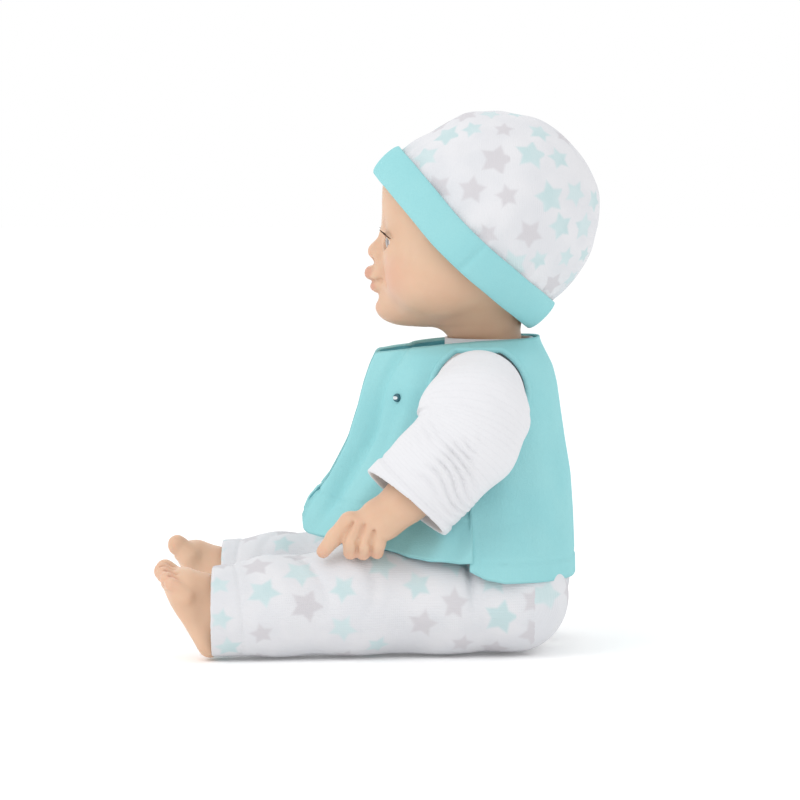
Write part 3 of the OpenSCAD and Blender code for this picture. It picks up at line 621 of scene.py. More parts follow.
def add_head():
    points, quads = sculpt_head()
    head = make_mesh("doll_head", points + NECK, quads)
    cheeks = near(points, (24, -40, 25), (18, 20, 15))
    nose = near(points, (0, -55, 37), (6, 6, 5))
    chin = near(points, (0, -50, 12), (10, 8, 7))
    paint(head, "blush", 0.6 * cheeks + 0.4 * nose + 0.3 * chin)
    upper_lip = near(points, (2.6, -55, 27.4), (8.5, 7, 4.2))
    lower_lip = near(points, (2.4, -53, 21.2), (7.4, 6, 3.6))
    paint(head, "lips", ease(np.maximum(upper_lip, lower_lip), 0.25, 0.7))
    # The crease attribute is painted shade: darker in the mouth line, the folds beside the nose, the nostrils and
    # over the upper lids
    mouth = near(points, (3, -54, 24), (9, 6, 1.6))
    smile_fold_shade = near(points, (12, -47, 29), (5, 6, 6))
    nostril_shade = near(points, (2.3, -52, 32.6), (2.4, 4, 2.2))
    lids = near(points, (17, -46, 45), (9, 6, 3))
    paint(head, "crease", np.maximum(mouth, smile_fold_shade * 0.4) + 0.5 * nostril_shade + 0.4 * lids)
    head.data.materials.append(SKIN)
    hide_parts("head_shell")
    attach(head, "head")


def lash_fan(side):
    """Stiff curled lashes along the lid's edge: one tapered hair each."""
    hairs, rings = 56, 5
    rng = np.random.default_rng(11)
    points, faces = [], []
    for i in range(hairs):
        t = (i + 0.5) / hairs * 2 - 1
        x, z = 6.9 * t, 1.3 + 2.2 * (1 - t * t)                 # along the arch of the upper lid
        root = np.array([x, -math.sqrt((EYE_R + 0.4) ** 2 - x * x - z * z), z])
        out = root / np.linalg.norm(root)
        length = 3.1 - 0.7 * t * t + rng.uniform(-0.3, 0.3)
        lean = np.array([0.3 * t + rng.uniform(-0.08, 0.08), 0, 0])
        for j in range(rings):
            u = j / (rings - 1)
            middle = root + (out + lean * u) * length * u + np.array([0, 0, 0.2 * u * u * length])
            r = 0.32 * (1 - 0.7 * u)
            for a in np.arange(4) * math.pi / 2:
                points.append(middle + r * np.array([math.cos(a), 0, math.sin(a)]))
        for j in range(rings - 1):
            for a in range(4):
                low, b = (i * rings + j) * 4, (a + 1) % 4
                faces.append((low + a, low + b, low + 4 + b, low + 4 + a))
    eye = EYE * [1 if side == "left" else -1, 1, 1]
    obj = make_mesh(f"eyelashes_{side}", np.array(points) + eye, faces)
    obj.data.materials.append(LASH)
    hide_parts(f"lashes_{side}")
    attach(obj, f"eye_{side}")


# ---------------------------------------------------------------- arms and legs
def sculpt_arm():
    """The left arm and hand: the index finger points and the others curl."""
    k = Clay([34, -94, 40], [84, 0, 132], 0.75)
    k.chain(ARM, 3)
    k.put(rod((38, -19, 115), (50, -19, 115), 11.5, 13.5), 2)
    # Palm and back of the hand
    k.put(egg((65.8, -63, 62.5), (7.6, 9.2, 8.2)), 3)
    k.put(rod((67.4, -74.5, 60.8), (68.6, -62.5, 58.4), 5.2, 5.0), 3)
    for i, finger in enumerate(FINGERS):
        k.chain(finger, 1.1 if i else 1.6)
    for i in range(3):                                          # the clefts between the fingers
        a, b = FINGERS[i], FINGERS[i + 1]
        path = [((np.array(p) + q) / 2 + [3.4, 0, 0.6], 0.3) for (p, _), (q, _) in zip(a, b)]
        k.chain(path, 2.2, cut=True)
    k.cut(rod((60, -57.5, 60), (74, -55.5, 66), 0.4, 0.4), 2.4)  # fold of the wrist
    return k.surface()


def sculpt_leg():
    """The left leg and foot."""
    k = Clay([16, -168, -1], [86, 22, 52], 0.85)
    k.chain(LEG, 4)
    k.put(rod((19, -5, 26), (32, -5, 26), 17, 18), 2)
    k.chain([LEG[5], ((61, -147.5, 22), 9.4), ((61.5, -149.5, 30), 8.8)], 3)
    k.put(egg((59.5, -139.5, 9.5), (9.6, 9.5, 9.2)), 3)         # heel
    k.put(rod((56.2, -151, 32), (66.5, -149, 29), 7.4, 6.4), 3)
    k.put(rod((57.5, -131, 23), (59, -148, 31), 13, 9), 4)      # instep
    for i, (c, r) in enumerate(TOES):
        c = np.array(c)
        k.put(rod(c + [-0.8, 5.5, -5], c + [0, 1.2, -0.6], r + 0.5, r * 0.9), 1.4)
        k.put(egg(c + [0, -0.6, 0.2], (r * 0.95, r * 0.92, r)), 0.8)
    for (a, _), (b, _) in zip(TOES, TOES[1:]):
        k.cut(egg((np.array(a) + b) / 2 + [0, 1, 1], (0.5, 4, 3.5)), 1.0)
    # The sole leans forward over the heel, with a shallow arch on its inner side
    sole = np.interp(k.z, [-1, 2.5, 8.6, 16.9, 25.5, 31.5, 36],
                     [-138.5, -141.3, -144.3, -149.3, -155.2, -158.4, -175])
    k.keep(sole - k.y, 5)
    k.cut(egg((54, -155.5, 19), (5, 4, 8)), 5)
    k.keep(0.3 - k.z, 2)
    return k.surface()


def hollow_shade(points, quads):
    """How hollow a surface is at each point, from the turn of its normals along the edges there: the strength of
    the painted shade in its hollows.
    """
    normals = face_normals_at_points(points, quads)
    bend = np.zeros(len(points))
    for i in range(4):
        a, b = quads[:, i], quads[:, (i + 1) % 4]
        turn = np.einsum("ij,ij->i", normals[b] - normals[a], points[b] - points[a])
        np.add.at(bend, a, turn)
        np.add.at(bend, b, turn)
    return np.clip(-bend * 0.3 - 0.08, 0, 0.8)


def add_limb(kind, sculpt, tips):
    """Both limbs of a kind, rosy at the tips that are given for the left one, with painted shade in their hollows.
    """
    points, quads = sculpt()
    blush = np.clip(sum(near(points, tip, (5.5, 5.5, 5.5)) for tip in tips), 0, 1) * 0.6
    for side in ("left", "right"):
        p, q = (points, quads) if side == "left" else mirrored(points, quads)
        obj = make_mesh(f"doll_{kind}_{side}", p, q)
        paint(obj, "blush", blush)
        # crease here is painted shade, darker where the surface is hollow
        paint(obj, "crease", hollow_shade(points, quads))
        paint(obj, "lips", np.zeros(len(points)))
        obj.data.materials.append(SKIN)
        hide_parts(f"{kind}_{side}")
        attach(obj, f"{kind}_{side}")


# ---------------------------------------------------------------- clothes
def squeezed(shape, flat):
    """The same shape made narrower in x by that factor."""
    distance, low, high = shape
    return (lambda x, y, z: distance(x / flat, y, z) * (0.5 + flat / 2),
            low * [flat, 1, 1], high * [flat, 1, 1])


def push_out(points, path, amount):
    """Moves points away from a path by amount(along, angle), which keeps a cloth's thickness."""
    along, angle, dist = along_path(points, path)
    h = 0.5
    grad = np.column_stack([along_path(points + np.eye(3)[i] * h, path)[2] - dist for i in range(3)]) / h
    return points + grad * amount(along, angle)[:, None]


def tube_uv(points, quads, path, radius):
    """UVs, in metres, of a tube of cloth round a path."""
    along, angle, _ = along_path(points, path)
    u, v = wrap_uv(quads, angle / (2 * math.pi), along)
    return np.column_stack([(u * 2 * math.pi * radius).ravel(), v.ravel()]) * MM


def mirror_uv(uv):
    """Face corners in the order that a mirrored copy's flipped quads have them."""
    return uv.reshape(-1, 4, 2)[:, ::-1].reshape(-1, 2)


def groove(x, width):
    """A narrow crease: 1 at 0, fading over that width."""
    return np.exp(-(x / width) ** 2)


def add_sleeves():
    """Sleeves with wrinkles, a cuff seam and an open mouth."""
    flat = SLEEVE_FLAT
    balls = [((c[0] / flat, c[1], c[2]), r) for c, r in SLEEVE] + [((67.5 / flat, -62, 61.5), 19.3)]
    k = Clay([27, -92, 36], [90, 14, 140], 0.8)
    for (a, ra), (b, rb) in zip(balls, balls[1:]):
        k.put(squeezed(rod(a, b, ra, rb), flat), 5)
    inner = Clay([27, -92, 36], [90, 14, 140], 0.8)
    for (a, ra), (b, rb) in zip(balls, balls[1:]):
        inner.put(squeezed(rod(a, b, ra - 1.9, rb - 1.9), flat), 5)
    k.keep(-inner.field, 0.4)
    # The mouth of the cuff, square to the forearm, and the armhole
    aim = np.array([0, -math.cos(math.radians(50)), -math.sin(math.radians(50))])
    mouth = np.array([67.5, -51.5, 69.5])
    turn_out = 0.2                                              # the mouth faces a little outwards
    k.keep((k.x - mouth[0]) * turn_out + (k.y - mouth[1]) * aim[1] + (k.z - mouth[2]) * aim[2], 0.6)
    k.keep(41.6 - k.x, 0.6)
    # The head of the sleeve runs in under the vest, round the shoulder's axis, to the shirt's armhole
    from_axis = np.sqrt((k.y - SHOULDER_YZ[0]) ** 2 + (k.z - SHOULDER_YZ[1]) ** 2)
    wall = np.abs(from_axis - np.interp(k.x, [29, 36, 41.6, 44], [14.9, 16.1, 16.7, 17.4])) - 0.95
    head = np.maximum(wall, np.abs(k.x - 36.8) - 7.2)
    k.field = smooth_min(k.field, head, 1.6)
    points, quads = k.surface()
    beyond = 14                                                 # the path runs on past the mouth
    path = rounded([(42, -19.5, 115)] + [c for c, _ in SLEEVE[1:-1]] + [tuple(mouth), tuple(mouth + aim * beyond)])
    length = np.linalg.norm(np.diff(path, axis=0), axis=1).sum() - beyond

    def wrinkles(along, angle):
        spread = waves(np.column_stack([along, angle * 14]), 21, 46, 2)
        outer = ease(-np.sin(angle), -0.1, 0.9)
        phase = (along + 4.0 * np.cos(angle - 0.4) + 5.5 * spread) / 5.0
        fold = np.sin(2 * math.pi * phase) + 0.35 * np.sin(4 * math.pi * phase + 2)
        patch = np.clip(0.55 + 0.75 * waves(np.column_stack([along, angle * 17]), 23, 34, 2), 0, 1.3)
        amount = 0.5 * fold * patch * (0.2 + 0.8 * outer) * ease(along, 8, 26)
        amount *= 1 - ease(along, length - 12, length - 5)
        amount += 0.9 * spread * ease(along, 4, 20)
        amount -= 0.55 * groove(along - (length - 7.0), 0.9)
        amount += 0.35 * ease(along, length - 7, length - 5)
        return amount
    out = push_out(points, path, wrinkles)
    uv = tube_uv(points, quads, path, 19)
    for side in ("left", "right"):
        p, q = (out, quads) if side == "left" else mirrored(out, quads)
        obj = make_mesh(f"shirt_sleeve_{side}", p, q, uv if side == "left" else mirror_uv(uv))
        obj.data.materials.append(KNIT)
        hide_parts(f"sleeve_{side}")
        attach(obj, f"arm_{side}")


def trouser_field(k, grow):
    """The solid outline of the trousers, grown or shrunk."""
    k.chain(TROUSER_LEG, 6, grow)
    k.put(rod((20, -6, 25.5), (39, -5, 26), 24.5 + grow, 24.4 + grow), 5)
    k.put(egg((0, -9.5, 32), (40 + grow, 31.5 + grow, 31 + grow)), 9)
    k.put(rod((0, -17, 60), (0, -15, 40), 35 + grow, 33 + grow), 10)
    return k


def trouser_wall(low, high, symmetric):
    """The cloth of the trousers, flat where it rests on the floor, open at the cuffs and the waist."""
    k = trouser_field(Clay(low, high, 0.9, mirrored=symmetric), 0)
    inside = trouser_field(Clay(low, high, 0.9, mirrored=symmetric), -1.9)
    floor = 0.35 - k.z
    k.keep(floor, 3)
    inside.keep(floor + 1.9, 2)
    k.keep(-inside.field, 0.4)
    k.keep(CUFF_Y - k.y, 0.8)
    return k.keep(k.z - 64, 0.6)


def add_trousers():
    """Both trouser legs and the seat between them."""
    leg_clay = trouser_wall([14, -142, -1], [82, 24, 68], False)
    seat_clay = trouser_wall([-22, -72, -1], [22, 28, 68], True)
    path = [(37, 14, 26), (39, -5, 26), (42, -35, 24.4), (47, -75, 24), (53, -108, 22), (57.5, CUFF_Y, 20.6)]
    whole = 150.0                                               # length of the leg along its path

    def wrinkles(along, angle):
        front = ease(np.cos(angle), -0.5, 0.6)
        drift = waves(np.column_stack([along, angle * 20]), 31, 60, 2)
        lap = groove(along - (52 + 16 * np.sin(angle * 0.9) + 3 * drift), 2.4) * 2.6
        second = groove(along - (38 + 20 * np.sin(angle * 1.1 + 0.5) + 3 * drift), 2.2) * 1.6
        second *= ease(angle, -0.3, 0.5)
        knee = groove(along - (88 - 8 * np.cos(angle + 0.7) + 4 * drift), 2.6) * 1.1
        shin = groove(along - (116 + 9 * np.sin(angle * 1.3) + 5 * drift), 3.0) * 0.8
        hem = groove(along - (whole - 8.5), 0.8) * 0.5
        return (-(lap + second + knee + shin) * front + 1.0 * drift * ease(along, 20, 50)) \
            * ease(along, 14, 34) * (1 - 0.7 * ease(along, whole - 14, whole - 6)) - hem
    leg_clay.keep(LEG_INNER_X - leg_clay.x, 0.3)
    leg_clay.keep(leg_clay.z - 52.4, 0.4)
    seat_clay.keep(seat_clay.x - LEG_INNER_X + 0.15, 0.3)
    points, quads = leg_clay.surface()
    out = push_out(points, path, wrinkles)
    out[:, 2] = np.where(points[:, 2] < 3, np.maximum(points[:, 2], 0.3), np.maximum(out[:, 2], 0.4))
    uv = tube_uv(points, quads, path, 23).reshape(-1, 4, 2)
    corners = points[quads]
    behind = corners[..., 1].mean(axis=1) > 5                   # the print lies flat over the back of the seat
    uv[behind] = corners[behind][..., [0, 2]] * MM
    uv = uv.reshape(-1, 2)
    for side in ("left", "right"):
        p, q = (out, quads) if side == "left" else mirrored(out, quads)
        obj = make_mesh(f"trousers_leg_{side}", p, q, uv if side == "left" else mirror_uv(uv) + [0.043, 0.081])
        obj.data.materials.append(STARS)
        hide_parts(f"trouser_leg_{side}")
        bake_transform(obj)
    seat_points, seat_quads = seat_clay.surface()
    path = [(0, -8, 0), (0, -14, 70)]
    uv = tube_uv(seat_points, seat_quads, path, 34)
    obj = make_mesh("trousers_seat", seat_points, seat_quads, uv)
    obj.data.materials.append(STARS)
    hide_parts("trouser_seat")
    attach(obj, "torso")


def grid_mesh(name, grid, uv, wrap=False):
    """A quad sheet from a grid of points, rows by columns, in millimetres, with UVs in metres.

    A wrapped grid joins its last column to its first, and its UVs have one column more.
    """
    rows, cols = grid.shape[:2]
    last = cols if wrap else cols - 1
    faces, corners = [], []
    for i in range(rows - 1):
        for j in range(last):
            k = (j + 1) % cols
            faces.append((i * cols + j, i * cols + k, (i + 1) * cols + k, (i + 1) * cols + j))
            corners += [uv[i][j], uv[i][j + 1], uv[i + 1][j + 1], uv[i + 1][j]]
    return make_mesh(name, grid.reshape(-1, 3), faces, np.array(corners))


def thicken(obj, thickness):
    """Gives a sheet its thickness, inwards."""
    mod = obj.modifiers.new("thickness", "SOLIDIFY")
    mod.thickness = thickness * MM
    mod.offset = -1.0
    mod.use_even_offset = False
    mod.use_rim = True
    return mod


def roll(name, loop, radius, material):
    """A rolled cord of cloth along a closed line of points in millimetres."""
    step = np.roll(loop, -1, 0) - np.roll(loop, 1, 0)
    step /= np.linalg.norm(step, axis=1, keepdims=True)
    outward = loop - [0, -20, 0]
    outward[:, 2] = 0.0
    a = outward - np.einsum("ij,ij->i", outward, step)[:, None] * step
    a /= np.linalg.norm(a, axis=1, keepdims=True)
    b = np.cross(step, a)
    ring = np.linspace(0, 2 * math.pi, 10, endpoint=False)
    grid = np.array([[c + radius * (math.cos(t) * u + math.sin(t) * w) for t in ring]
                     for c, u, w in zip(loop, a, b)])
    grid = np.vstack([grid, grid[:1]])
    uv = [[(t * radius * MM, i * 0.001) for t in np.linspace(0, 2 * math.pi, 11)] for i in range(len(grid))]
    obj = grid_mesh(name, grid, uv, wrap=True)
    with editing(obj) as bm:
        bmesh.ops.recalc_face_normals(bm, faces=bm.faces)
    obj.data.materials.append(material)
    return obj


def rows_at(table, z):
    """Smoothly interpolated rows of an outline table, for an array of heights."""
    fine = np.linspace(table[0, 0], table[-1, 0], 400)
    out = []
    for c in range(1, 5):
        v = np.interp(fine, table[:, 0], table[:, c])
        pad = np.concatenate([v[0] + (v[0] - v[1:13][::-1]), v, v[-1] + (v[-1] - v[-13:-1][::-1])])
        kernel = np.exp(-np.linspace(-2, 2, 25) ** 2)
        smooth = np.convolve(pad, kernel / kernel.sum(), mode="same")[12:-12]
        out.append(np.interp(z, fine, smooth))
    return out


def vest_point(a, z, grow=0.0):
    """A place on the vest at angle a from the front and height z."""
    cy, w, front, back = rows_at(VEST, z)
    c, s = np.cos(a), np.sin(a)
    behind = c < 0
    power = np.where(behind, VEST_SQUARE + 0.08, 1.0)
    x = (w + grow) * np.sign(s) * np.abs(s) ** power
    y = cy - np.where(behind, back + grow, front + grow) * np.sign(c) * np.abs(c) ** power
    return np.stack([x, y, z], -1)


def hem_front(y):
    """Height of the vest's front hem."""
    return np.interp(y, [-104, -80, -63, -49, -35, -23], [52.3, 51.0, 48.6, 45.4, 43.6, 43.0])


def hem_back(y):
    """Height of the vest's back hem."""
    return np.interp(y, [-23, -17, -8, 30], [39.5, 36.0, 34.3, 34.0])


def neckline(y):
    """Height of the vest's upper edge."""
    return np.interp(y, [-66, -61, -50, -34, -20, 8], [129.5, 132.6, 134.8, 136.6, 137.8, 139.0])


def seam_angle(z):
    """Angle at which the vest crosses the side seam's plane."""
    front = rows_at(VEST, z)[2]
    return np.arccos(np.clip((-20 - SEAM_Y) / front, -1, 1))


def vest_grid(a_from, a_to, hem, rows=84, cols=96):
    """Grid of a vest panel between two edges, each an angle as a function of height."""
    t = np.linspace(0, 1, cols)[None, :] * np.ones((rows, 1))
    s = np.linspace(0, 1, rows)[:, None] * np.ones((1, cols))
    z = 34 + s * 100
    for _ in range(12):
        a = a_from(z) * (1 - t) + a_to(z) * t
        y = vest_point(a, z)[..., 1]
        z = hem(y) * (1 - s) + neckline(y) * s
    a = a_from(z) * (1 - t) + a_to(z) * t
    return vest_point(a, z), a, z


def cut_away(bm, field):
    """Cuts a mesh where a field of its points, in millimetres, crosses 0; drops the negative part.

    Gives the points of the new edge.
    """
    value = {v: field(np.array(v.co) * 1000) for v in bm.verts}
    for edge in list(bm.edges):
        a, b = edge.verts
        if value[a] * value[b] < 0:
            point = bmesh.utils.edge_split(edge, a, value[a] / (value[a] - value[b]))[1]
            value[point] = 0.0
    for face in list(bm.faces):
        ends = [v for v in face.verts if value[v] == 0.0]
        if len(ends) == 2 and not any(ends[0] in e.verts and ends[1] in e.verts for e in face.edges):
            bmesh.utils.face_split(face, ends[0], ends[1])
    gone = [f for f in bm.faces if sum(value[v] for v in f.verts) < 0]
    line = [np.array(v.co) * 1000 for v in bm.verts if value[v] == 0.0]
    bmesh.ops.delete(bm, geom=gone, context="FACES")
    bmesh.ops.delete(bm, geom=[v for v in bm.verts if not v.link_faces], context="VERTS")
    return line


def armhole(p):
    """Negative inside the vest's armholes, which are round below and flatter under the shoulder straps."""
    ring = math.hypot(p[1] - SHOULDER_YZ[0], p[2] - SHOULDER_YZ[1]) - 21.7
    return max(ring, p[2] - STRAP_Z, 22 - abs(p[0]))


def face_outwards(bm):
    """Turns every face over if the mesh as a whole faces inwards, towards x = 0."""
    if sum((f.normal.x * f.calc_center_median().x for f in bm.faces)) < 0:
        bmesh.ops.reverse_faces(bm, faces=bm.faces)


ARMHOLE_LINE = []                                               # points along the cut armholes, from each panel


def vest_panel(name, grid, folds, node):
    """One panel of fleece from its grid, with soft folds pushed out along the outward direction."""
    rows, cols = grid.shape[:2]
    outward = np.stack([grid[..., 0] / 60, (grid[..., 1] + 20) / 70, np.zeros((rows, cols))], -1)
    outward /= np.linalg.norm(outward, axis=-1, keepdims=True)
    grid = grid + outward * folds[..., None]
    step_u = np.linalg.norm(np.diff(grid, axis=1), axis=-1)
    step_v = np.linalg.norm(np.diff(grid, axis=0), axis=-1)
    u = np.concatenate([np.zeros((rows, 1)), np.cumsum(step_u, 1)], 1) * MM
    v = np.concatenate([np.zeros((1, cols)), np.cumsum(step_v, 0)], 0) * MM
    obj = grid_mesh(name, grid, np.stack([u, v], -1))
    with editing(obj) as bm:
        ARMHOLE_LINE.extend(cut_away(bm, armhole))
        face_outwards(bm)
    obj.data.materials.append(MINT)
    # The inside faces, through the thickness's material offset, take the darker fleece: painted shade
    obj.data.materials.append(MINT_SHADED_INSIDE)
    thicken(obj, 1.7).material_offset = 1
    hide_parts(node)
    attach(obj, "torso")
    return obj


def add_vest_front(side, word):
    """A front panel, from its open edge to the side seam."""
    def opening(h):
        w, front = rows_at(VEST, h)[1:3]
        return side * np.arcsin((5 + front * 0.12 + 1.5) / w)

    def seam(h):
        return side * (seam_angle(h) + 0.010)
    grid, _, z = vest_grid(opening, seam, hem_front)
    run = np.cumsum(np.linalg.norm(np.diff(grid, axis=1), axis=-1), 1)
    run = np.concatenate([np.zeros((len(grid), 1)), run], 1)    # distance from the open edge
    # Rounded corner at the foot of the open edge
    r = 8.0
    lift = np.where(run < r, r - np.sqrt(np.clip(r * r - (r - run) ** 2, 0, None)), 0)
    height = (z - z[:1]) / (z[-1:] - z[:1])
    grid[..., 2] += lift * np.clip(1 - height * 3.2, 0, 1)
    hem_band = 68 - 0.05 * run
    low = 1 - ease(z, 60, 122)
    drift = waves(np.stack([run.ravel(), z.ravel()], -1), 43, 70, 2).reshape(z.shape)
    soft = waves(np.stack([run.ravel(), 0.22 * z.ravel()], -1), 41, 24, 2).reshape(z.shape)
    folds = 1.5 * soft * (0.5 + 0.5 * low)
    folds -= 2.6 * groove(run - 12 - 2 * drift, 3.4) * ease(z, 52, 74)
    folds += 1.2 * (1 - ease(run, 2, 8)) * ease(z, 60, 80)
    folds -= 0.8 * groove(z - hem_band, 0.8)
    folds += 0.35 * (z < hem_band)
    folds += 0.5 * groove(run - 3.0, 2.0)
    panel = vest_panel(f"vest_front_panel_{word}", grid, folds, f"vest_front_{word}")


def add_vest_back():
    """The back panel, from side seam to side seam."""
    def start(h):
        return seam_angle(h) - 0.006

    def end(h):
        return 2 * math.pi - seam_angle(h) + 0.006
    grid, a, z = vest_grid(start, end, hem_back, rows=90, cols=200)
    hem_band = 42.5
    turn = (a - math.pi) * 52
    low = 1 - ease(z, 48, 118)
    soft = waves(np.stack([turn.ravel(), 0.14 * z.ravel()], -1), 44, 44, 2).reshape(z.shape)
    folds = 1.2 * soft * (0.2 + low)
    folds -= 0.7 * groove(z - hem_band, 0.8)
    folds += 0.3 * (z < hem_band)
    from_seam = np.abs(grid[..., 1] - SEAM_Y)
    folds *= np.clip((from_seam + 1) / 14, 0, 1)
    folds += (0.5 + 0.8 * (1 - ease(z, 52, 68))) * (1 - np.clip(from_seam / 3.5, 0, 1))
    panel = vest_panel("vest_back_panel", grid, folds, "vest_back")


def add_bindings():
    """Rolled bindings round the armholes, on the line where the panels are cut."""
    line = np.array(ARMHOLE_LINE)
    turn = np.linspace(-math.pi, math.pi, 120, endpoint=False)
    for side, word in ((1, "left"), (-1, "right")):
        own = line[line[:, 0] * side > 0]
        at = np.arctan2(own[:, 2] - SHOULDER_YZ[1], own[:, 1] - SHOULDER_YZ[0])
        own = own[np.argsort(at)]
        at = np.sort(at)
        loop = np.column_stack([np.interp(turn, at, own[:, i], period=2 * math.pi) for i in range(3)])
        loop = (np.roll(loop, 1, 0) + loop * 2 + np.roll(loop, -1, 0)) / 4
        obj = roll(f"vest_armhole_binding_{word}", loop - [side * 0.6, 0, 0], 1.45, MINT)
        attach(obj, "torso")


def add_snaps():
    """Press studs beside the front edges: a dished pale cap in a dark ring."""
    paint_job = snap_paint()
    for side, word in ((1, "left"), (-1, "right")):
        z = SNAP_AT[1]
        w, front = (float(v) for v in rows_at(VEST, z)[1:3])
        a = math.asin(SNAP_AT[0] / w)
        centre = vest_point(np.array(a), np.array(z), 0.4)
        out = np.array([math.sin(a) / w, -math.cos(a) / front, 0])
        out /= np.linalg.norm(out)
        across = np.cross([0, 0, 1], out)
        profile = [(0, 0.3), (0.7, 0.25), (1.0, 0.6), (1.4, 0.65), (1.75, 0.4), (1.9, -0.2), (1.9, -0.9)]
        points, faces, n = [], [], 28
        for r, h in profile:
            for j in range(n):
                t = 2 * math.pi * j / n
                points.append(centre + out * h + r * (math.cos(t) * across + math.sin(t) * Z_UP))
        for i in range(len(profile) - 1):
            for j in range(n):
                k = (j + 1) % n
                faces.append((i * n + j, i * n + k, (i + 1) * n + k, (i + 1) * n + j))
        pts = np.array(points)
        if side < 0:
            pts = pts * [-1, 1, 1]
            faces = [f[::-1] for f in faces]
        obj = make_mesh(f"vest_snap_{word}", pts, faces)
        obj.data.materials.append(paint_job)
        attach(obj, "torso")
        if word == "left":
            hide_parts("vest_snaps")


def snap_paint():
    """Dark lacquered ring with a pale centre."""
    s = Shader("press_stud")
    place = s.place()
    xyz = s.node("ShaderNodeSeparateXYZ", {"Vector": place})
    a = math.asin(SNAP_AT[0] / float(rows_at(VEST, SNAP_AT[1])[1]))
    c = vest_point(np.array(a), np.array(SNAP_AT[1]), 0.4) * MM
    dx = s.math("SUBTRACT", s.math("ABSOLUTE", xyz.outputs[0]), float(c[0]))
    dz = s.math("SUBTRACT", xyz.outputs[2], SNAP_AT[1] * MM)
    dx2, dz2 = s.math("MULTIPLY", s.math("MULTIPLY", dx, dx), 1.4), s.math("MULTIPLY", dz, dz)
    far = s.math("SQRT", s.math("ADD", dx2, dz2))
    base = s.mix(s.step(far, 0.0006, 0.0008), rgb(226, 232, 234), rgb(38, 92, 104))
    return s.finish(Base_Color=base, Roughness=0.3, Normal=s.bump(s.noise(place, 900.0), 0.00005, 0.4))


def add_shirt():
    """Body and collar of the knitted shirt: one open tube over the cloth body, with a ribbed neckband."""
    rows, cols = 70, 150
    z = np.concatenate([np.linspace(60.8, 131, 58), np.linspace(131.5, 138.2, 12)])
    a = np.linspace(0, 2 * math.pi, cols, endpoint=False)
    cy, w, front, back = [v[:, None] for v in rows_at(TORSO, np.clip(z, 0, 136))]
    s, c = np.sin(a)[None, :], np.cos(a)[None, :]
    room = 2.1 - 1.0 * ease(z, 129, 134)[:, None]
    neck = ease(z, 130, 132)[:, None] * 19.9
    x = np.maximum(w + room, neck) * s
    before, behind = np.maximum(front + room, neck + cy - NECK[1]), np.maximum(back + room, neck - cy + NECK[1])
    reach = np.where(c > 0, before, behind)
    grid = np.stack([x, cy - reach * c, np.repeat(z[:, None], cols, 1)], -1)
    uv = np.stack(np.broadcast_arrays(np.linspace(0, 0.24, cols + 1)[None, :], (z * MM)[:, None]), -1)
    obj = grid_mesh("shirt_and_collar", grid, uv, wrap=True)

    def at_shoulder(p):
        return max(math.hypot(p[1] - SHOULDER_YZ[0], p[2] - SHOULDER_YZ[1]) - 14.6, 24 - abs(p[0]))
    with editing(obj) as bm:
        cut_away(bm, at_shoulder)
        bmesh.ops.recalc_face_normals(bm, faces=bm.faces)
        face_outwards(bm)
    obj.data.materials.append(KNIT)
    thicken(obj, 1.5)
    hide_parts("shirt_body")
    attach(obj, "torso")


def add_body():
    """The stuffed cloth body under the clothes: a sewn skin with puckered seams."""
    rows, cols = 90, 120
    z = np.linspace(2.8, 136, rows)
    a = np.linspace(0, 2 * math.pi, cols, endpoint=False)
    cy, w, front, back = [v[:, None] for v in rows_at(TORSO, z)]
    tuck = 10.0 * (1 - ease(z, 2, 32))[:, None]                 # clear of the seat of the trousers
    w, front, back = w - tuck * 0.3, front - tuck, back - tuck
    s, c = np.sin(a)[None, :], np.cos(a)[None, :]
    places = np.stack(np.broadcast_arrays(z[:, None], 40 * a[None, :]), -1).reshape(-1, 2)
    pucker = 0.25 * waves(places, 51, 22).reshape(rows, cols) - 0.7 * groove(s, 0.03) - 0.3
    grid = np.stack([(w + pucker) * s, cy - (np.where(c > 0, front, back) + pucker) * c,
                     np.repeat(z[:, None], cols, 1)], -1)
    uv = np.stack(np.broadcast_arrays(np.linspace(0, 0.23, cols + 1)[None, :], (z * MM)[:, None]), -1)
    obj = grid_mesh("body_cloth", grid, uv, wrap=True)

    def at_limb(m):
        shoulder = abs(m.x) > 24 and math.hypot(m.y - SHOULDER_YZ[0], m.z - SHOULDER_YZ[1]) < 10.8
        return shoulder or (math.hypot(m.y + 5, m.z - 26) < 13.2 and abs(m.x) > 8)
    with editing(obj) as bm:
        gone = [f for f in bm.faces if at_limb(f.calc_center_median() * 1000)]
        bmesh.ops.delete(bm, geom=gone, context="FACES")
        foot = [e for e in bm.edges if e.is_boundary and e.verts[0].co.z < 0.003]
        bmesh.ops.holes_fill(bm, edges=foot, sides=0)
        bmesh.ops.recalc_face_normals(bm, faces=bm.faces)
    obj.data.materials.append(WHITE_CLOTH)
    thicken(obj, 1.2)
    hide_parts("torso_skin")
    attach(obj, "torso")


# ---------------------------------------------------------------- hat
HAT_UP = np.array([0, 1, 1]) / math.sqrt(2)          # along the hat's axis, up and back
HAT_FORE = np.array([0, -1, 1]) / math.sqrt(2)       # square to it, up and forward


def in_hat(x, v, u):
    """Points from places across, forward and along the axis of the hat."""
    return HAT + x[..., None] * np.array([1.0, 0, 0]) + v[..., None] * HAT_FORE + u[..., None] * HAT_UP


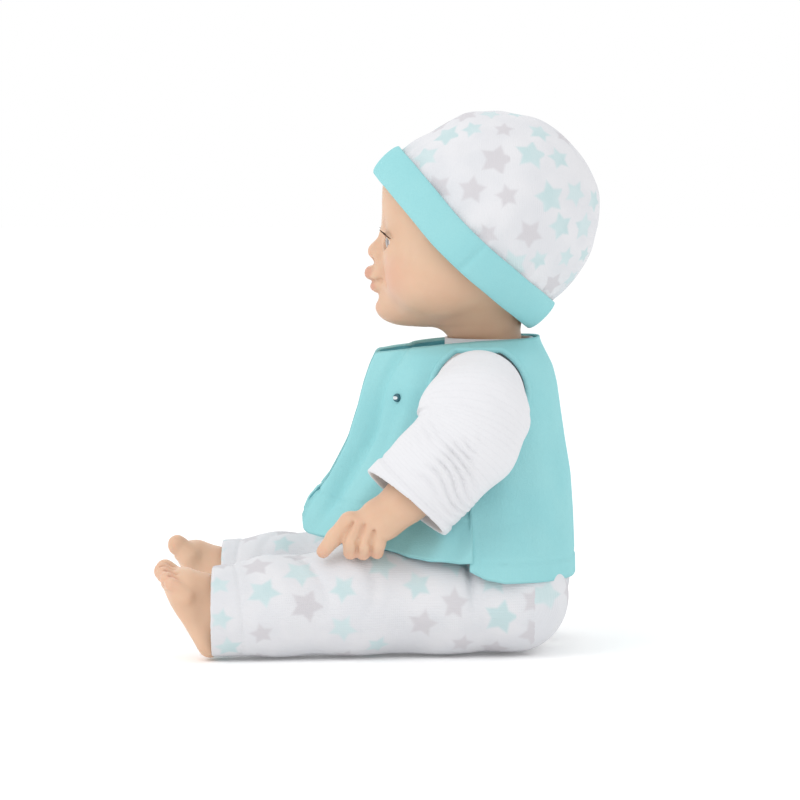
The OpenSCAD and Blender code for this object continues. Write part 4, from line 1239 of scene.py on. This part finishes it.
def add_hat():
    """The gathered crown and its turned-up band."""
    rows, cols = 60, 176
    tilt = np.linspace(-0.24, 0.5 * math.pi - 0.012, rows)[:, None]
    turn = np.linspace(0, 2 * math.pi, cols, endpoint=False)[None, :]
    # Below the widest line the sides run straight down into the band
    width = np.where(tilt < 0, 1.0, np.cos(tilt) ** 0.94)
    r = 47.4 * width
    u = np.broadcast_to(np.where(tilt < 0, tilt * 47, 50.6 * np.sin(tilt)), (rows, cols))
    x = (r - 0.6) * np.sin(turn)
    v = 3.0 * (1 - ease(np.sin(np.maximum(tilt, 0)), 0.5, 1.0) * 1.2) + (r + 0.2) * np.cos(turn)
    points = in_hat(x, v, u)
    out = points - HAT
    out /= np.linalg.norm(out, axis=-1, keepdims=True)
    flat = points.reshape(-1, 3)
    slack = 0.9 * waves(flat, 61, 52, 3).reshape(rows, cols)
    # Gathers rising from the band, a pinch along the seam over the top, and a flatter patch on top
    gather = 0.45 * np.sin(turn * 23 + 2 * waves(flat, 62, 40).reshape(rows, cols)) * (1 - ease(u, -9, 16))
    seam = -0.9 * groove(points[..., 0], 1.3) + 0.25 * groove(np.abs(points[..., 0]) - 3.2, 1.6)
    top = -2.0 * np.exp(-(((u - 33) / 17) ** 2 + ((v - 33) / 17) ** 2)) * np.exp(-(x / 40) ** 2)
    top += -3.6 * np.exp(-(((u - 13) / 14) ** 2 + ((v - 45) / 17) ** 2)) * np.exp(-(x / 36) ** 2)
    back = 1.2 * np.exp(-(((u - 16) / 18) ** 2 + ((v + 45) / 18) ** 2))
    points = points + out * (slack * ease(u, -12, 6) + gather + seam + top + back)[..., None]
    crown = grid_mesh("hat_crown_cloth", points, np.zeros((rows, cols + 1, 2)), wrap=True)
    with editing(crown) as bm:
        top = Vector(HAT + 50 * HAT_UP)
        cap = [e for e in bm.edges if e.is_boundary and (e.verts[0].co * 1000 - top).length < 8]
        bmesh.ops.holes_fill(bm, edges=cap, sides=0)
        bmesh.ops.recalc_face_normals(bm, faces=bm.faces)
        centre = Vector(HAT * MM)
        if sum((f.calc_center_median() - centre).dot(f.normal) for f in bm.faces) < 0:
            bmesh.ops.reverse_faces(bm, faces=bm.faces)
        layer = bm.loops.layers.uv["cloth"]
        # Each half is one panel: its print is laid flat from the middle of that side
        for f in bm.faces:
            side = 1 if f.calc_center_median().x >= 0 else -1
            for loop in f.loops:
                p = np.array(loop.vert.co) * 1000 - HAT
                t = math.acos(max(-1, min(1, side * p[0] / np.linalg.norm(p)))) * 48 * MM
                around = math.atan2(p[2], p[1])
                loop[layer].uv = (t * math.cos(around) * side + 0.3 * side, t * math.sin(around) + 0.1)
    crown.data.materials.append(STARS)
    thicken(crown, 1.6)
    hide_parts("hat_crown")
    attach(crown, "hat")
    # Band: the hem turned up once, thick and round at the fold
    section = [(0.1, -19.0), (0.7, -20.9), (2.0, -21.7), (3.3, -21.2), (4.1, -19.4), (4.5, -16), (4.6, -12),
               (4.4, -8.4), (3.9, -5.6), (3.2, -4.6), (2.4, -4.9), (1.9, -6.5), (1.2, -9.0), (0.5, -12.5),
               (0.15, -16)]
    n = 190
    grid, uv = [], []
    for j in range(n):
        t = 2 * math.pi * j / n
        sag = -3.0 * math.sin(t) ** 4
        x_seam = (t - math.pi / 2 - 0.14) if t < math.pi else (3 * math.pi / 2 - 0.14 - t)
        pinch = math.exp(-(x_seam * 50 / 0.9) ** 2)
        ripple = 0.35 * math.sin(7 * t + 0.8) + 0.25 * math.sin(13 * t)
        row, row_uv = [], []
        for i, (r_out, u_at) in enumerate(section):
            mid = math.sin(math.pi * min(max((-u_at - 4.6) / 17.0, 0), 1))
            rr = 46.2 + r_out + (ripple * 0.8 - 1.8 * pinch) * (r_out / 4.6) + 0.35 * mid * (r_out / 4.6)
            row.append(in_hat(np.array(rr * math.sin(t) * 0.985), np.array(3.0 + rr * math.cos(t)),
                              np.array(u_at + sag + 0.25 * ripple)))
            row_uv.append((t * 50 * MM, i * 1.5 * MM))
        row_uv.append((t * 50 * MM, len(section) * 1.5 * MM))
        grid.append(row)
        uv.append(row_uv)
    grid.append(grid[0])
    uv.append(uv[0])
    band = grid_mesh("hat_turned_up_band", np.array(grid), uv, wrap=True)
    with editing(band) as bm:
        bmesh.ops.remove_doubles(bm, verts=bm.verts, dist=1e-6)
        bmesh.ops.recalc_face_normals(bm, faces=bm.faces)
    sub = band.modifiers.new("round", "SUBSURF")
    sub.levels = sub.render_levels = 1
    band.data.materials.append(MINT)
    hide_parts("hat_band")
    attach(band, "hat")


# ---------------------------------------------------------------- the pieces inside, which keep their CAD shape
def finish_cad_nodes():
    """Materials of the pieces that keep their CAD shape."""
    white = moulded("white_plastic", rgb(222, 222, 218))
    case = moulded("case_plastic", rgb(206, 206, 200), 0.5, grain=1500.0)
    dark = moulded("dark_plastic", rgb(60, 62, 66))
    steel = moulded("plated_steel", rgb(176, 178, 182), 0.3, 1.0)
    jacket = moulded("cell_jacket", rgb(96, 102, 110), 0.3)
    board = moulded("solder_mask", rgb(44, 108, 76), 0.35)
    cone = moulded("pressed_paper", rgb(84, 86, 90), 0.8, grain=500.0)
    lead = moulded("cast_lead", rgb(120, 122, 126), 0.6, 1.0)
    fibre = fleece("stuffing_fibre", rgb(244, 244, 242), rgb(228, 228, 226))
    tape = fleece("closure_tape", rgb(238, 236, 230), rgb(214, 212, 206))
    by_slot = {"hard_white": white, "case": case, "dark_plastic": dark, "steel": steel, "cell_jacket": jacket,
               "board": board, "cone": cone, "lead": lead, "stuffing": fibre, "skin_vinyl": SKIN}
    for part in frame["record"]["subparts"]:
        name, slot = part["node"], part["material_slot"]
        obj = frame["nodes"].get(name)
        if obj is None:
            continue
        material = by_slot.get(slot)
        if name == "back_closure":
            material = tape
        if name.startswith("eyeball"):
            centre = EYE * [1 if name.endswith("left") else -1, 1, 1]
            material = eye_paint(f"{name}_paint", centre)
        if material:
            obj.data.materials.clear()
            obj.data.materials.append(material)


# ---------------------------------------------------------------- studio
def studio():
    """A white sweep, soft lights and the camera."""
    scene = bpy.context.scene
    scene.view_settings.view_transform = "Standard"
    camera_data = bpy.data.cameras.new("camera")
    camera_data.lens, camera_data.sensor_width = 200, 36
    camera_data.clip_end = 20
    camera = bpy.data.objects.new("camera", camera_data)
    scene.collection.objects.link(camera)
    target = Vector((0, -0.054, 0.1098))
    lift = math.radians(4)
    camera.location = target + Vector((math.cos(lift), 0, math.sin(lift))) * 2.0
    camera.rotation_euler = (target - camera.location).to_track_quat("-Z", "Y").to_euler()
    scene.camera = camera
    world = bpy.data.worlds.new("studio")
    world.use_nodes = True
    world.node_tree.nodes["Background"].inputs["Color"].default_value = (1, 1, 1, 1)
    world.node_tree.nodes["Background"].inputs["Strength"].default_value = 1.0
    scene.world = world
    half = 6000
    corners = [(x * half, y * half, -0.2) for x, y in ((-1, -1), (1, -1), (1, 1), (-1, 1))]
    floor = make_mesh("studio_floor", corners, [(0, 1, 2, 3)], smooth=False)
    s = Shader("studio_floor")
    tone = s.noise(s.place(), 2.0, 1.0)
    white = s.mix(tone, rgb(250, 250, 250), rgb(254, 254, 254))
    floor.data.materials.append(s.finish(Base_Color=white, Roughness=0.9, Specular_IOR_Level=0.0,
                                         Emission_Color=(1, 1, 1, 1), Emission_Strength=0.08))
    lights = (("key", (0.9, -1.3, 1.5), 1.2, 9.0), ("fill", (1.3, 1.0, 0.7), 1.4, 1.5),
              ("back", (-1.4, -0.4, 1.2), 1.2, 2.5))
    for name, place, size, power in lights:
        light = bpy.data.lights.new(name, "AREA")
        light.size, light.energy = size, power
        obj = bpy.data.objects.new(name, light)
        obj.location = place
        obj.rotation_euler = (Vector((0, -0.05, 0.1)) - Vector(place)).to_track_quat("-Z", "Y").to_euler()
        scene.collection.objects.link(obj)


def main():
    studio()
    add_head()
    lash_fan("left")
    lash_fan("right")
    add_limb("arm", sculpt_arm, [f[2][0] for f in FINGERS] + [f[0][0] for f in FINGERS[:4]])
    add_limb("leg", sculpt_leg, [centre for centre, _ in TOES] + [HEEL])
    add_body()
    add_shirt()
    add_sleeves()
    add_trousers()
    add_vest_front(1, "left")
    add_vest_front(-1, "right")
    add_vest_back()
    add_bindings()
    add_snaps()
    add_hat()
    finish_cad_nodes()


main()
